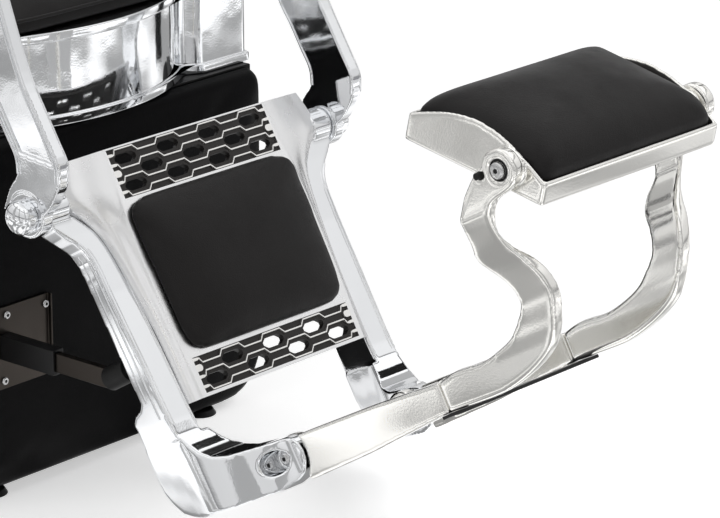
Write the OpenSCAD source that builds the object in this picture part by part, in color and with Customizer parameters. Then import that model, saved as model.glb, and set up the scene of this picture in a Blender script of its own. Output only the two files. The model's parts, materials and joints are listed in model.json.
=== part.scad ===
// Backwash unit with a raised leg rest and a flip-over footrest.
// Millimetres, +Z up, +X to the sitter's left, the leg rest reaches out to -Y.
// The origin is on the floor, under the middle of the whole unit.

/* [Plinth] */
// Width of the plinth case
plinth_w = 570; // [480:5:640]
// Depth of the plinth case
plinth_d = 700; // [640:10:800]
// Height of the plinth case
plinth_h = 450; // [400:1:470]
// Thickness of the case boards
board_t = 18; // [12:1:25]
// Height of the feet
foot_h = 8; // [6:1:25]
// Diameter of a foot at the floor
foot_dia = 44; // [30:1:60]
// Taper of a foot on its radius
foot_taper = 5; // [2:1:8]
// Distance of the feet from the sides and the rear of the case
foot_inset = 95; // [50:1:120]
// Distance of the front feet behind the plinth front
foot_front = 8; // [4:1:120]
// Thickness of the padded front panel at its seam
panel_t = 17.5; // [12:0.5:22]
// Bulge of the padded front panel
panel_bulge = 7; // [3:1:10]
// Radius of the upper corners of the padded front panel
panel_r = 24; // [10:1:40]
// Radius of the lower corners of the padded front panel
panel_low_r = 72; // [20:1:90]

/* [Rear cabinet] */
// Width of the rear cabinet
cabinet_w = 500; // [420:5:560]
// Depth of the rear cabinet
cabinet_d = 400; // [360:10:480]
// Height of the rear cabinet
cabinet_h = 694; // [640:1:720]
// Thickness of the access door
door_t = 18; // [12:1:25]
// Gap round the access door
door_gap = 3; // [2:0.5:5]
// Diameter of the door hinge pin
door_pin_dia = 8; // [6:1:12]
// Length of the door knob
knob_l = 26; // [18:1:40]
// Diameter of the door knob
knob_dia = 30; // [20:1:40]
// Diameter of the waste pipe
waste_dia = 40; // [32:1:50]

/* [Seat] */
// Height of the chrome seat band
band_h = 119; // [90:1:140]
// Half width of the band over its shoulders
band_half_w = 296; // [270:1:310]
// Depth of the band behind the plinth front
band_d = 470; // [440:5:520]
// Radius of the bowed front
bow_r = 320; // [300:1:400]
// How far the bow stands in front of the plinth
bow_ahead = 30; // [20:1:40]
// Half width of the bowed front
bow_half_w = 176; // [150:1:190]
// Distance of the shoulders behind the plinth front
shoulder_back = 14; // [8:1:20]
// Wall of the seat band
band_wall = 26; // [18:1:40]
// Height of the rim beads of the band
bead_h = 12; // [6:1:18]
// Reach of the rim beads of the band
bead_out = 4; // [2:0.5:6]
// Thickness of the seat board
seat_board_t = 15; // [10:1:20]
// Half width of the seat cushion
seat_half_w = 232; // [200:1:238]
// Height of the seat cushion over the band
seat_rise = 72; // [50:1:90]

/* [Arms] */
// Thickness of an arm frame across
arm_t = 18; // [14:1:24]
// Distance of the inner face of an arm frame inside the band's shoulders
arm_inset = 46; // [42:1:50]
// Depth of the upright
arm_depth = 58; // [48:1:64]
// Height of the armrest bar above the leg hinge
arm_rise = 366; // [330:1:400]
// Depth of the armrest bar
arm_bar = 40; // [30:1:50]
// Depth of the side recess of an arm frame
arm_recess = 3; // [2:0.5:4]
// Width of the raised rim of an arm frame
arm_rim = 7; // [5:0.5:10]
// Place of the rear leg behind the plinth front
arm_rear = 395; // [370:5:420]
// Place of the front foot behind the plinth front
arm_front = 100; // [80:5:140]
// Width of an arm pad
arm_pad_w = 62; // [50:1:70]
// Thickness of an arm pad
arm_pad_t = 34; // [24:1:44]
// Diameter of the domed hinge cap
cap_dia = 42; // [36:1:48]
// Length of the domed hinge cap
cap_l = 24; // [16:1:30]
// Diameter of the hinge pin
hinge_pin_dia = 20; // [16:1:24]

/* [Leg rest] */
// How far the leg hinge lies in front of the plinth
hinge_ahead = 150; // [130:1:170]
// Height of the leg hinge above the floor
hinge_z = 412; // [400:1:430]
// Angle of the raised leg rest from the vertical
leg_lean = 31; // [24:1:40]
// Length of a leg rail from the hinge to the underside of the bend
leg_len = 400; // [370:1:430]
// Outer half width over the leg rails
rail_out_x = 211; // [205:1:216]
// Face width of a leg rail
rail_w = 41; // [34:1:44]
// Radius of the hinge hub
hub_r = 23; // [20:1:28]
// Distance of the front face of the plate from the hinge plane
plate_v = 29.5; // [26:0.5:33]
// Thickness of the plate
plate_t = 4; // [3:0.5:6]
// Half width of the flat of the plate
flat_half_w = 142; // [130:1:146]
// Length of the plate below the hinge
plate_len = 275; // [265:1:285]
// Height of the plate above the hinge
plate_up = 44; // [38:1:46]
// Length of the upper grille
grille_top_h = 62; // [50:1:64]
// Length of the lower grille
grille_low_h = 45; // [36:1:46]
// Pitch of the grille holes across
hex_pitch = 73; // [66:1:76]
// Length of a grille hole
hex_l = 36; // [30:1:44]
// Height of a grille hole
hex_h = 13; // [10:0.5:15]
// Width of a grille rib
rib_w = 1.8; // [1.2:0.1:3]
// Half width of the leg pad
leg_pad_half_w = 144; // [130:1:146]
// Length of the leg pad
leg_pad_l = 204; // [180:1:206]
// Distance of the top of the leg pad below the hinge
leg_pad_top = 20.5; // [19:0.5:28]
// Crown of the leg pad
leg_pad_crown = 27; // [18:1:36]

/* [Footrest frame] */
// Angle of the bars from the horizontal
bar_lean = 29; // [20:1:36]
// Diameter of the pivot bolts
foot_pin_dia = 14; // [10:1:16]
// Outer half width over the bars
bar_out_x = 122.5; // [118:0.5:126]
// Thickness of a bar
bar_t = 18; // [14:1:22]
// Length of a bar from the pivot to the seam
bar_l = 274; // [250:1:300]
// Distance of the eyes along the bars
eye_s = 530; // [510:1:550]
// Distance of the eyes off the bars
eye_t = 208; // [195:1:220]
// Outer half width over the eyes
eye_out_x = 183; // [178:1:188]
// Radius of an eye
eye_r = 24; // [20:1:28]
// Thickness of an S-arm
s_arm_t = 18; // [14:1:20]
// Thickness of the tread plate
tread_t = 4; // [3:0.5:6]

/* [Footrest head] */
// Angle of the footrest head, nose down
tray_lean = 11.5; // [0:0.5:20]
// Half width of the tray
tray_half_w = 158; // [150:1:166]
// Reach of the tray in front of the eyes
tray_front = 48; // [44:1:56]
// Reach of the tray behind the eyes
tray_rear = 150; // [140:1:160]
// Depth of the tray below the eyes
tray_low = 30; // [28:1:36]
// Height of the front strip of the tray
strip_h = 27; // [22:1:32]
// Wall of the tray
tray_wall = 5; // [4:0.5:8]
// Height of the arched ends above the bottom of the tray
arch_h = 58; // [50:1:64]
// Crown of the footrest pad over the arched ends
foot_crown = 21; // [16:1:34]
// Diameter of the eye bolts
eye_pin_dia = 10; // [8:1:12]

/* [Stop] */
// Distance of the stop bar from the middle
stop_x = 190; // [180:1:198]
// Height of the stop bar
stop_bar_h = 24; // [18:1:28]
// Thickness of the stop bar
stop_bar_t = 10; // [8:1:14]
// Wall of the sleeve round the stop bar
sleeve_wall = 4; // [3:0.5:6]
// Length of the sleeve
sleeve_l = 118; // [90:1:124]
// Distance of the inner edge of the bracket plate from the middle
stop_plate_x = 113; // [106:1:120]
// Width of the bracket plate
stop_plate_w = 154; // [140:1:160]
// Height of the bracket plate
stop_plate_h = 105; // [90:1:120]
// Thickness of the bracket plate
stop_plate_t = 5; // [4:0.5:8]
// Diameter of the rubber buffer
buffer_dia = 30; // [24:1:34]
// Length of the rubber buffer
buffer_l = 42; // [36:1:46]

/* [Back] */
// Place of the foot of the back behind the plinth front
back_y = 440; // [430:5:460]
// Lean of the back
back_lean = 20; // [14:1:26]
// Width of the back
back_w = 480; // [420:5:500]
// Height of the back along its face
back_h = 400; // [360:5:420]
// Thickness of the back shell
shell_t = 28; // [20:1:34]
// Thickness of the back cushion
back_pad_t = 62; // [50:1:74]

/* [Basin] */
// Width of the basin
basin_w = 490; // [440:5:510]
// Length of the basin
basin_l = 450; // [420:5:470]
// Outer radius of the bowl
bowl_r = 205; // [190:1:212]
// Depth of the bowl below the rim
bowl_d = 165; // [140:1:175]
// Wall of the basin
basin_wall = 12; // [9:1:16]
// Height of the rim
rim_h = 34; // [26:1:42]
// Radius of the neck recess
neck_r = 62; // [50:1:74]
// Tilt of the basin
basin_tilt = 8; // [4:1:12]
// Distance of the tilt pin behind the plinth front
basin_place = 880; // [860:5:890]
// Height of the tilt pin above the cabinet
pin_rise = 45; // [36:1:54]
// Height of the rim above the tilt pin
rim_rise = 205; // [200:1:225]
// Diameter of the tilt pin
tilt_pin_dia = 16; // [12:1:20]
// Diameter of the mixer body
tap_dia = 46; // [38:1:54]
// Height of the mixer body
tap_h = 70; // [56:1:90]
// Length of the spout
spout_l = 120; // [100:1:140]

/* [Fits] */
// Radial running clearance of a pin in its bore
run_fit = 0.08; // [0.05:0.01:0.1]
// Gap between faces that move past each other
face_gap = 0.3; // [0.2:0.05:0.5]
// Clearance round a soft piece
soft_gap = 0.3; // [0.2:0.05:0.5]

/* [Hidden] */
// Overrun of every cut
over = 2;
// Sides of a bore or pin
round_n = 48;
// Points per span of a smoothed outline
span_n = 3;

// Footrest pivot down and in front of the leg rest
foot_u_share = 0.95;
foot_v_share = 0.2375;
foot_u = foot_u_share * leg_len;
foot_v = foot_v_share * leg_len;

// Reach of the footrest head and of the door knob, which centre the unit
foot_off_y = hinge_ahead + foot_u * sin(leg_lean) + foot_v * cos(leg_lean);
eye_off_y = foot_off_y + eye_s * cos(bar_lean) - eye_t * sin(bar_lean);
strip_top = strip_h - tray_low;
front_reach = eye_off_y + tray_front * cos(tray_lean) + strip_top * sin(tray_lean);
back_reach = plinth_d + cabinet_d + door_t + knob_l;
plinth_front = (front_reach - back_reach) / 2;

// Heights
case_top = foot_h + plinth_h;
band_top = case_top + band_h;
cabinet_top = foot_h + cabinet_h;

// Hinge axis of the leg rest, pivot of the footrest, eyes of the head
hinge_y = plinth_front - hinge_ahead;
foot_y = plinth_front - foot_off_y;
foot_z = hinge_z - foot_u * cos(leg_lean) + foot_v * sin(leg_lean);
eye_y = plinth_front - eye_off_y;
eye_z = foot_z + eye_s * sin(bar_lean) + eye_t * cos(bar_lean);

// Smooth line through points
function mix4(a, b, c, d, t) =
    (2 * b + (c - a) * t + (2 * a - 5 * b + 4 * c - d) * t * t
    + (3 * b - a - 3 * c + d) * t * t * t) / 2;
function smooth(p, n) = concat(
    [for (i = [0:len(p) - 2]) for (k = [0:n - 1])
        mix4(p[max(i - 1, 0)], p[i], p[i + 1], p[min(i + 2, len(p) - 1)], k / n)],
    [p[len(p) - 1]]);
function flip(p) = [for (i = [len(p) - 1:-1:0]) p[i]];
function heading(p, i) =
    let (d = p[min(i + 1, len(p) - 1)] - p[max(i - 1, 0)]) d / norm(d);
// One side of a band of varying width, given as rows of x, y, width
function edge_of(q, s) = [for (i = [0:len(q) - 1])
    let (p = [for (r = q) [r[0], r[1]]], h = heading(p, i))
    [q[i][0] - s * h[1] * q[i][2] / 2, q[i][1] + s * h[0] * q[i][2] / 2]];
function band_of(q) = concat(edge_of(q, 1), flip(edge_of(q, -1)));
// Signed power for rounded rectangles
function spow(c, e) = sign(c) * pow(abs(c), e);
function rounded(a, b, e, n) = [for (i = [0:n - 1])
    let (t = 360 * (i + 0.5) / n) [a * spow(cos(t), e), b * spow(sin(t), e)]];

// Outline in y and z, pulled along x
module along_x(x0, w) {
    translate([x0, 0, 0]) rotate([90, 0, 90]) linear_extrude(w) children();
}
// Outline in x and z, pulled towards -y from y0
module along_front(y0, w) {
    translate([0, y0, 0]) rotate([90, 0, 0]) linear_extrude(w) children();
}
// Round bar along x
module rod_x(x0, w, r) {
    translate([x0, 0, 0]) rotate([0, 90, 0]) cylinder(h = w, r = r, $fn = round_n);
}
// Box from its low corner
module box(x0, y0, z0, w, d, h) {
    translate([x0, y0, z0]) cube([w, d, h]);
}
// The same piece on the other side
module other_side() {
    mirror([1, 0, 0]) children();
}

// Leg rest frame: z runs up the leg, -y in front of it, zero at the hinge
module at_leg() {
    translate([0, hinge_y, hinge_z]) rotate([-leg_lean, 0, 0]) children();
}
// Footrest frame: -y runs along the bars, z above them, zero at the pivot
module at_foot() {
    translate([0, foot_y, foot_z]) rotate([-bar_lean, 0, 0]) children();
}
// Footrest head frame, zero at the eyes
module at_tray() {
    translate([0, eye_y, eye_z]) rotate([tray_lean, 0, 0]) children();
}
// Back frame, zero at the foot of the back
module at_back() {
    translate([0, plinth_front + back_y, band_top + seat_board_t])
        rotate([-back_lean, 0, 0]) children();
}

// Crowned pad on the plane z = 0: rows of inset share, height share
pad_shares = [[0.965, 0], [0.99, 0.12], [1, 0.27], [0.992, 0.42], [0.965, 0.56],
    [0.91, 0.68], [0.81, 0.79], [0.66, 0.885], [0.46, 0.955], [0.22, 0.99]];
pad_n = 44;
pad_corner_share = 0.42;
module crowned(a, b, h, lift = function (x, y) 0, e = pad_corner_share, taper = 0,
    side_shares = pad_shares) {
    m = len(side_shares);
    rings = [for (r = side_shares) [for (p = rounded(a * r[0], b * r[0], e, pad_n))
        [p[0] * (1 + taper * p[1] / b), p[1], h * r[1] + lift(p[0], p[1]) * min(1, r[1] * 2)]]];
    pts = concat([for (r = rings) each r], [[0, 0, 0], [0, 0, h + lift(0, 0)]]);
    low = m * pad_n;
    faces = concat(
        [for (k = [0:m - 2]) for (i = [0:pad_n - 1]) let (j = (i + 1) % pad_n)
            each [[k * pad_n + i, (k + 1) * pad_n + i, (k + 1) * pad_n + j],
                [k * pad_n + i, (k + 1) * pad_n + j, k * pad_n + j]]],
        [for (i = [0:pad_n - 1]) [low, i, (i + 1) % pad_n]],
        [for (i = [0:pad_n - 1]) let (k = (m - 1) * pad_n)
            [low + 1, k + (i + 1) % pad_n, k + i]]);
    polyhedron(pts, faces);
}

// Plinth: the case is rounded below like its padded front
case_r = 2;
case_low_r = 60;
module plinth_case() {
    color("black") difference() {
        translate([0, 0, foot_h + plinth_h / 2]) along_front(plinth_front + plinth_d, plinth_d)
            square_round(plinth_w / 2, plinth_h / 2, case_r, case_low_r);
        box(board_t - plinth_w / 2, plinth_front + board_t, foot_h + board_t,
            plinth_w - 2 * board_t, plinth_d, plinth_h - 2 * board_t);
    }
}
panel_half_w = plinth_w / 2 + board_t / 2;
panel_h = plinth_h - face_gap;
module plinth_panel() {
    color("black") translate([0, plinth_front, foot_h + panel_h / 2]) rotate([90, 0, 0])
        union() {
            linear_extrude(panel_t)
                square_round(panel_half_w, panel_h / 2, panel_r, panel_low_r);
            translate([0, 0, panel_t]) linear_extrude(panel_bulge / 2)
                square_round(panel_half_w - panel_bulge, panel_h / 2 - panel_bulge, panel_r,
                    panel_low_r);
        }
}
// Rounded rectangle from its half sizes and its upper and lower corner radius
corner_n = 6;
module square_round(a, b, high_r, low_r) {
    polygon([for (q = [0:3]) for (k = [0:corner_n])
        let (t = 90 * q + 90 * k / corner_n, sx = (q == 0 || q == 3) ? 1 : -1,
            sy = q < 2 ? 1 : -1, r = q < 2 ? high_r : low_r)
        [sx * (a - r) + r * cos(t), sy * (b - r) + r * sin(t)]]);
}
module plinth_feet() {
    color("black") for (x = [-1, 1]) for (y = [foot_front, plinth_d - foot_inset])
        translate([x * (plinth_w / 2 - foot_inset), plinth_front + y, 0])
            cylinder(h = foot_h, r1 = foot_dia / 2, r2 = foot_dia / 2 - foot_taper,
                $fn = round_n);
}

// Rear cabinet
cabinet_y = plinth_front + plinth_d;
cabinet_back = cabinet_y + cabinet_d;

waste_fit = 1;
// Door: swings on a pin at its left edge, between the top and bottom boards
door_r = (door_t - face_gap) / 2;
door_x = -cabinet_w / 2 + door_r;
door_axis_y = cabinet_back + face_gap + door_r;
door_low = board_t;
door_high = cabinet_top - board_t;
pin_bite = board_t / 2;
module rear_cabinet() {
    color("black") difference() {
        box(-cabinet_w / 2, cabinet_y, 0, cabinet_w, cabinet_d + door_t, cabinet_top);
        box(board_t - cabinet_w / 2, cabinet_y + board_t, board_t,
            cabinet_w - 2 * board_t, cabinet_d + door_t, cabinet_top - 2 * board_t);
        box(-cabinet_w / 2 - over, cabinet_back, door_low,
            cabinet_w + 2 * over, door_t + over, door_high - door_low);
        translate([0, waste_y, cabinet_top - board_t - over])
            cylinder(h = board_t + 2 * over, r = waste_dia / 2 + waste_fit, $fn = round_n);
        translate([0, waste_y, -over])
            cylinder(h = board_t + 2 * over, r = waste_dia / 2, $fn = round_n);
        door_bore(door_low - pin_bite, door_high - door_low + 2 * pin_bite);
    }
}
module door_bore(z0, h) {
    translate([door_x, door_axis_y, z0])
        cylinder(h = h, r = door_pin_dia / 2 + run_fit, $fn = round_n);
}
module cabinet_door() {
    color("black") difference() {
        union() {
            box(door_x, cabinet_back + face_gap, door_low + door_gap, cabinet_w - door_r,
                door_t - face_gap, door_high - door_low - 2 * door_gap);
            translate([door_x, door_axis_y, door_low + door_gap])
                cylinder(h = door_high - door_low - 2 * door_gap, r = door_r, $fn = round_n);
        }
        door_bore(door_low, door_high - door_low);
    }
}
module door_pin() {
    color("silver") translate([door_x, door_axis_y, door_low - pin_bite])
        cylinder(h = door_high - door_low + 2 * pin_bite, r = door_pin_dia / 2,
            $fn = round_n);
}
knob_x = cabinet_w / 2 - 2 * board_t;
module door_knob() {
    color("silver") translate([knob_x, cabinet_back + door_t, foot_h + cabinet_h / 2])
        rotate([-90, 0, 0]) union() {
            cylinder(h = knob_l, r = knob_dia / 4, $fn = round_n);
            translate([0, 0, knob_l / 2]) cylinder(h = knob_l / 2, r = knob_dia / 2, $fn = round_n);
        }
}
waste_wall = 3;
module waste_pipe() {
    color("dimgray") translate([0, waste_y, 0]) difference() {
        cylinder(h = cabinet_top + board_t, r = waste_dia / 2, $fn = round_n);
        translate([0, 0, -over]) cylinder(h = cabinet_top + board_t + 2 * over,
            r = waste_dia / 2 - waste_wall, $fn = round_n);
    }
}

// Stop: bracket plate with a sleeve, bar and rubber buffer behind the left rail
stop_drop_share = 0.525;
stop_z = hinge_z - stop_drop_share * leg_len;
panel_face = panel_t + panel_bulge / 2;
stop_face = plinth_front - panel_face;
sleeve_w = stop_bar_t + 2 * sleeve_wall;
sleeve_h = stop_bar_h + 2 * sleeve_wall;
rail_back_share = 0.042;
rail_back_v = rail_back_share * leg_len;
buffer_v = -rail_back_v - face_gap - buffer_l;
plate_drop = 3;
plate_lip = 5;
plate_low = stop_z - plate_drop - stop_plate_h / 2;
bolt_r = 5;
bolt_head = 3;
// Point in y and z of the leg frame place u, v
function leg_pt(u, v) = [hinge_y - u * sin(leg_lean) - v * cos(leg_lean),
    hinge_z - u * cos(leg_lean) + v * sin(leg_lean)];
// Place down the leg of a height z at depth v
function leg_u(z, v) = (hinge_z - z + v * sin(leg_lean)) / cos(leg_lean);
stop_low = stop_z - stop_bar_h / 2;
stop_high = stop_z + stop_bar_h / 2;
bar_tip_low = leg_pt(leg_u(stop_low, buffer_v), buffer_v);
bar_tip_high = leg_pt(leg_u(stop_high, buffer_v), buffer_v);
module stop_bracket() {
    color([0.4, 0.37, 0.34]) other_side() difference() {
        union() {
            box(stop_plate_x, stop_face - stop_plate_t, plate_low, stop_plate_w,
                stop_plate_t, stop_plate_h);
            box(stop_plate_x, stop_face - stop_plate_t - plate_lip, plate_low,
                stop_plate_t / 2, stop_plate_t + plate_lip, stop_plate_h);
        }
        box(stop_x - stop_bar_t / 2, stop_face - stop_plate_t - over, stop_low,
            stop_bar_t, stop_plate_t + 2 * over, stop_bar_h);
    }
}
module stop_sleeve() {
    color([0.12, 0.12, 0.12]) other_side() difference() {
        box(stop_x - sleeve_w / 2, plinth_front - sleeve_l, stop_z - sleeve_h / 2,
            sleeve_w, sleeve_l - panel_face - stop_plate_t, sleeve_h);
        box(stop_x - stop_bar_t / 2, plinth_front - sleeve_l - over, stop_low,
            stop_bar_t, sleeve_l, stop_bar_h);
    }
}
module stop_bar() {
    color([0.4, 0.37, 0.34]) other_side()
        along_x(stop_x - stop_bar_t / 2, stop_bar_t) polygon([
            [stop_face, stop_low], [stop_face, stop_high], bar_tip_high, bar_tip_low]);
}
buffer_rim = 4;
module stop_buffer() {
    color("black") other_side() at_leg()
        translate([stop_x, -buffer_v, -leg_u(stop_z, buffer_v)]) rotate([90, 0, 0]) union() {
            cylinder(h = buffer_l - buffer_rim, r = buffer_dia / 2, $fn = round_n);
            cylinder(h = buffer_l, r = buffer_dia / 2 - buffer_rim, $fn = round_n);
        }
}
// Bolts of the bracket plate, shares of its width and height
bolt_shares = [[0.05, 0.88], [0.48, 0.9], [0.52, 0.1], [0.95, 0.88]];
module bracket_bolts() {
    color("silver") other_side() for (b = bolt_shares)
        translate([stop_plate_x + b[0] * stop_plate_w, stop_face - stop_plate_t,
            plate_low + b[1] * stop_plate_h])
            rotate([90, 0, 0]) cylinder(h = bolt_head, r = bolt_r, $fn = round_n);
}

// Seat
bow_y = plinth_front - bow_ahead + bow_r;
bow_end = asin(bow_half_w / bow_r);
band_corner = 12;
function band_half(d) = concat(
    [for (i = [0:14]) let (t = bow_end * i / 14)
        [(bow_r + d) * sin(t), bow_y - (bow_r + d) * cos(t)]],
    [[bow_half_w + band_corner, plinth_front + band_corner + shoulder_back - d],
        [bow_half_w + 2 * band_corner, plinth_front + shoulder_back / 2 + band_corner - d],
        [bow_half_w + 3 * band_corner, plinth_front + shoulder_back - d],
        [band_half_w + d - band_corner, plinth_front + shoulder_back - d],
        [band_half_w + d - band_corner / 4, plinth_front + shoulder_back + band_corner / 4 - d],
        [band_half_w + d, plinth_front + shoulder_back + band_corner - d],
        [band_half_w + d, plinth_front + band_d]]);
module band_plan(d) {
    h = band_half(d);
    polygon(concat(h, [for (p = flip(h)) [-p[0], p[1]]]));
}
pocket_front = plinth_front + shoulder_back + band_wall;
module seat_band() {
    color("silver") difference() {
        union() {
            translate([0, 0, case_top]) linear_extrude(band_top - case_top) band_plan(0);
            translate([0, 0, case_top]) linear_extrude(bead_h) band_plan(bead_out);
            translate([0, 0, band_top - bead_h]) linear_extrude(bead_h) band_plan(bead_out);
        }
        box(band_wall - band_half_w, pocket_front, case_top - over,
            2 * (band_half_w - band_wall), band_d - shoulder_back - 2 * band_wall,
            band_top - case_top + 2 * over);
    }
}
// The board lies in the mouth of the band on a rail of its own depth
module seat_board() {
    color("burlywood") box(-seat_half_w, pocket_front, band_top - seat_board_t,
        2 * seat_half_w, band_d - shoulder_back - 2 * band_wall, seat_board_t);
}
seat_front = plinth_front - bow_ahead + band_corner;
seat_back = plinth_front + back_y - soft_gap;
module seat_cushion() {
    color("black") translate([0, (seat_front + seat_back) / 2, band_top])
        crowned(seat_half_w, (seat_back - seat_front) / 2, seat_rise);
}

// Arm frames: outline rows of y share, z share, width share on named anchors
arm_in_x = band_half_w - arm_inset;
arm_out_x = arm_in_x + arm_t;
arm_top_z = hinge_z + arm_rise;
arm_corner_y = plinth_front - arm_t / 2;
// Front and rear edge of the upright, rows of depth share, height share
up_front_shares = [[-0.38, 0.003], [-0.62, 0.033], [-0.83, 0.085], [-0.95, 0.134],
    [-0.93, 0.197], [-0.69, 0.262], [-0.345, 0.35], [-0.017, 0.437], [0.29, 0.546],
    [0.586, 0.672], [0.845, 0.787], [1.12, 0.896], [1.52, 0.984], [2.1, 1.04],
    [2.76, 1.055]];
up_rear_shares = [[2.76, 0.945], [2.45, 0.929], [2.14, 0.869], [1.966, 0.787],
    [1.78, 0.678], [1.586, 0.582], [1.38, 0.486], [1.155, 0.404], [0.86, 0.336],
    [0.55, 0.257], [0.293, 0.191], [0.24, 0.134], [0.48, 0.077], [0.67, 0]];
function up_pt(r) = [hinge_y + r[0] * arm_depth, hinge_z + r[1] * arm_rise];
function up_edge(q) = smooth([for (r = q) up_pt(r)], span_n);
// A line moved to its right by d
function moved(p, d) = [for (i = [0:len(p) - 1]) let (h = heading(p, i))
    p[i] + d * [h[1], -h[0]]];
recess_first = 4;
recess_last = 12;
bar_start = hinge_y + 2.5 * arm_depth;
rear_y = plinth_front + arm_rear;
rear_shares = [[0, 1, 1], [0.5, 1, 0.95], [0.82, 0.99, 1], [0.95, 0.93, 1.1],
    [1, 0.8, 1.1], [1, 0.5, 1.05], [1, 0.2, 1.15], [1, 0.035, 1.4]];
function rear_rows() = [for (r = rear_shares)
    [bar_start + r[0] * (rear_y - bar_start),
        band_top + r[1] * (arm_top_z - band_top), r[2] * arm_bar]];
brace_shares = [[0, 0.76, 0.9], [0.3, 0.52, 0.75], [0.65, 0.32, 0.7],
    [0.85, 0.22, 0.65], [0.97, 0.14, 0.6]];
function brace_rows() = [for (r = brace_shares)
    [arm_corner_y - arm_depth + r[0] * (plinth_front + arm_front - arm_corner_y + arm_depth),
        band_top + r[1] * (arm_top_z - band_top) / 2, r[2] * arm_bar]];
arm_foot_t = 14;
arm_step = 0.6;
arm_foot_l = 84;
module arm_outline() {
    polygon(concat(up_edge(up_front_shares), up_edge(up_rear_shares)));
}
module arm_recess_outline() {
    polygon(concat(
        moved(up_edge([for (i = [recess_first:recess_last]) up_front_shares[i]]), arm_rim),
        moved(up_edge([for (i = [recess_first:recess_last])
            up_rear_shares[i - 2]]), arm_rim)));
}
module arm_rear_outline() {
    polygon(band_of(smooth(rear_rows(), span_n)));
}
module arm_brace_outline() {
    polygon(band_of(smooth(brace_rows(), span_n)));
}
hub_ring = 5;
module arm_side() {
    color("silver") difference() {
        union() {
            along_x(arm_in_x + arm_step, arm_t - 2 * arm_step) arm_outline();
            along_x(arm_in_x + 2 * arm_step, arm_t - 4 * arm_step) arm_rear_outline();
            along_x(arm_in_x + 3 * arm_step, arm_t - 6 * arm_step) arm_brace_outline();
            rod_x_at(arm_in_x, arm_t, hub_r + hub_ring);
            for (y = [plinth_front + arm_front, rear_y])
                box(arm_in_x, y - arm_foot_l / 2, band_top, arm_t, arm_foot_l, arm_foot_t);
        }
        along_x(arm_out_x - arm_step - arm_recess, arm_recess + over) arm_recess_outline();
        rod_x_at(arm_in_x - over, arm_t + 2 * over, hinge_pin_dia / 2 + run_fit);
    }
}
module rod_x_at(x0, w, r) {
    translate([0, hinge_y, hinge_z]) rod_x(x0, w, r);
}
module arm_frame_left() { other_side() arm_side(); }
module arm_frame_right() { arm_side(); }
arm_pad_y0 = arm_corner_y + arm_depth / 2;
arm_pad_y1 = rear_y - arm_bar;
arm_pad_z = arm_top_z + arm_bar / 2 + soft_gap;
module arm_pad_side() {
    color("black") translate([(arm_in_x + arm_out_x) / 2, (arm_pad_y0 + arm_pad_y1) / 2, arm_pad_z])
        crowned(arm_pad_w / 2, (arm_pad_y1 - arm_pad_y0) / 2, arm_pad_t);
}
module arm_pad_left() { other_side() arm_pad_side(); }
module arm_pad_right() { arm_pad_side(); }
// Hinge pin with its domed cap, turned in one piece
hub_l = 34;
hub_in_x = arm_in_x - face_gap - hub_l;
cap_dome_share = 0.42;
module hinge_pin_side() {
    color("silver") translate([0, hinge_y, hinge_z]) union() {
        rod_x(hub_in_x, arm_out_x - hub_in_x, hinge_pin_dia / 2);
        translate([arm_out_x + face_gap, 0, 0]) rotate([0, 90, 0]) rotate_extrude($fn = 64)
            polygon(concat([[0, -face_gap], [hinge_pin_dia / 2, -face_gap],
                [hinge_pin_dia / 2, 0], [cap_dia / 2, 0]],
                [for (i = [0:8]) let (t = 90 * i / 8)
                    [cap_dia / 2 * cos(t) , cap_l * (1 - cap_dome_share)
                        + cap_l * cap_dome_share * sin(t)]]));
    }
}
module hinge_pin_left() { other_side() hinge_pin_side(); }
module hinge_pin_right() { hinge_pin_side(); }

// Leg rails: side outline in shares of the rail length, rows of v, u
rail_front_shares = [[0.03, -0.035], [0.0275, 0.1], [0.0275, 0.3], [0.035, 0.5],
    [0.0425, 0.72], [0.049, 0.765], [0.0675, 0.803], [0.085, 0.833], [0.11, 0.859],
    [0.145, 0.875], [0.18, 0.88], [0.23, 0.8875], [0.27, 0.892], [0.2975, 0.9025],
    [0.311, 0.92], [0.3175, 0.9475], [0.3125, 0.9775], [0.2975, 1.005],
    [0.2725, 1.025], [0.235, 1.035]];
rail_under_shares = [[0.14, 1.0275], [0.08, 1.0225], [0.0175, 1.0175], [-0.025, 1],
    [-0.055, 0.9825], [-0.08, 0.9475], [-0.0975, 0.91], [-0.105, 0.8625],
    [-0.1075, 0.8], [-0.1075, 0.725], [-0.1025, 0.68], [-0.088, 0.662],
    [-0.055, 0.65], [-rail_back_share, 0.635],
    [-rail_back_share, 0.3], [-rail_back_share, -0.035]];
rail_side_shares = concat(rail_front_shares, rail_under_shares);
toe_share = 0.034;
function rail_line(u) = rail_out_x - toe_share * u;
// Front view: rows of width share outside the straight edge, length share
rail_out_shares = [[0.85, 0.07], [0.62, 0.098], [0.36, 0.122], [0.15, 0.15],
    [0.03, 0.19], [0, 0.24], [0, 0.45], [0, 0.78]];
rail_in_shares = [[0, 0.78], [0, 0.45], [0.02, 0.22], [0.06, 0.18], [0.14, 0.135],
    [0.225, 0.09], [0.36, 0.06], [0.62, 0.0275], [1, -0.02]];
hub_out_x = arm_in_x - face_gap;
hub_top = hub_r + over;
function rail_face() = concat(
    [[hub_in_x, hub_top], [hub_out_x, hub_top], [hub_out_x, -hub_r / 2]],
    [for (r = rail_out_shares) [rail_line(r[1] * leg_len) + r[0] * rail_w, -r[1] * leg_len]],
    [for (r = rail_in_shares)
        [rail_line(r[1] * leg_len) - rail_w + r[0] * rail_w, -r[1] * leg_len]]);
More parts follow.
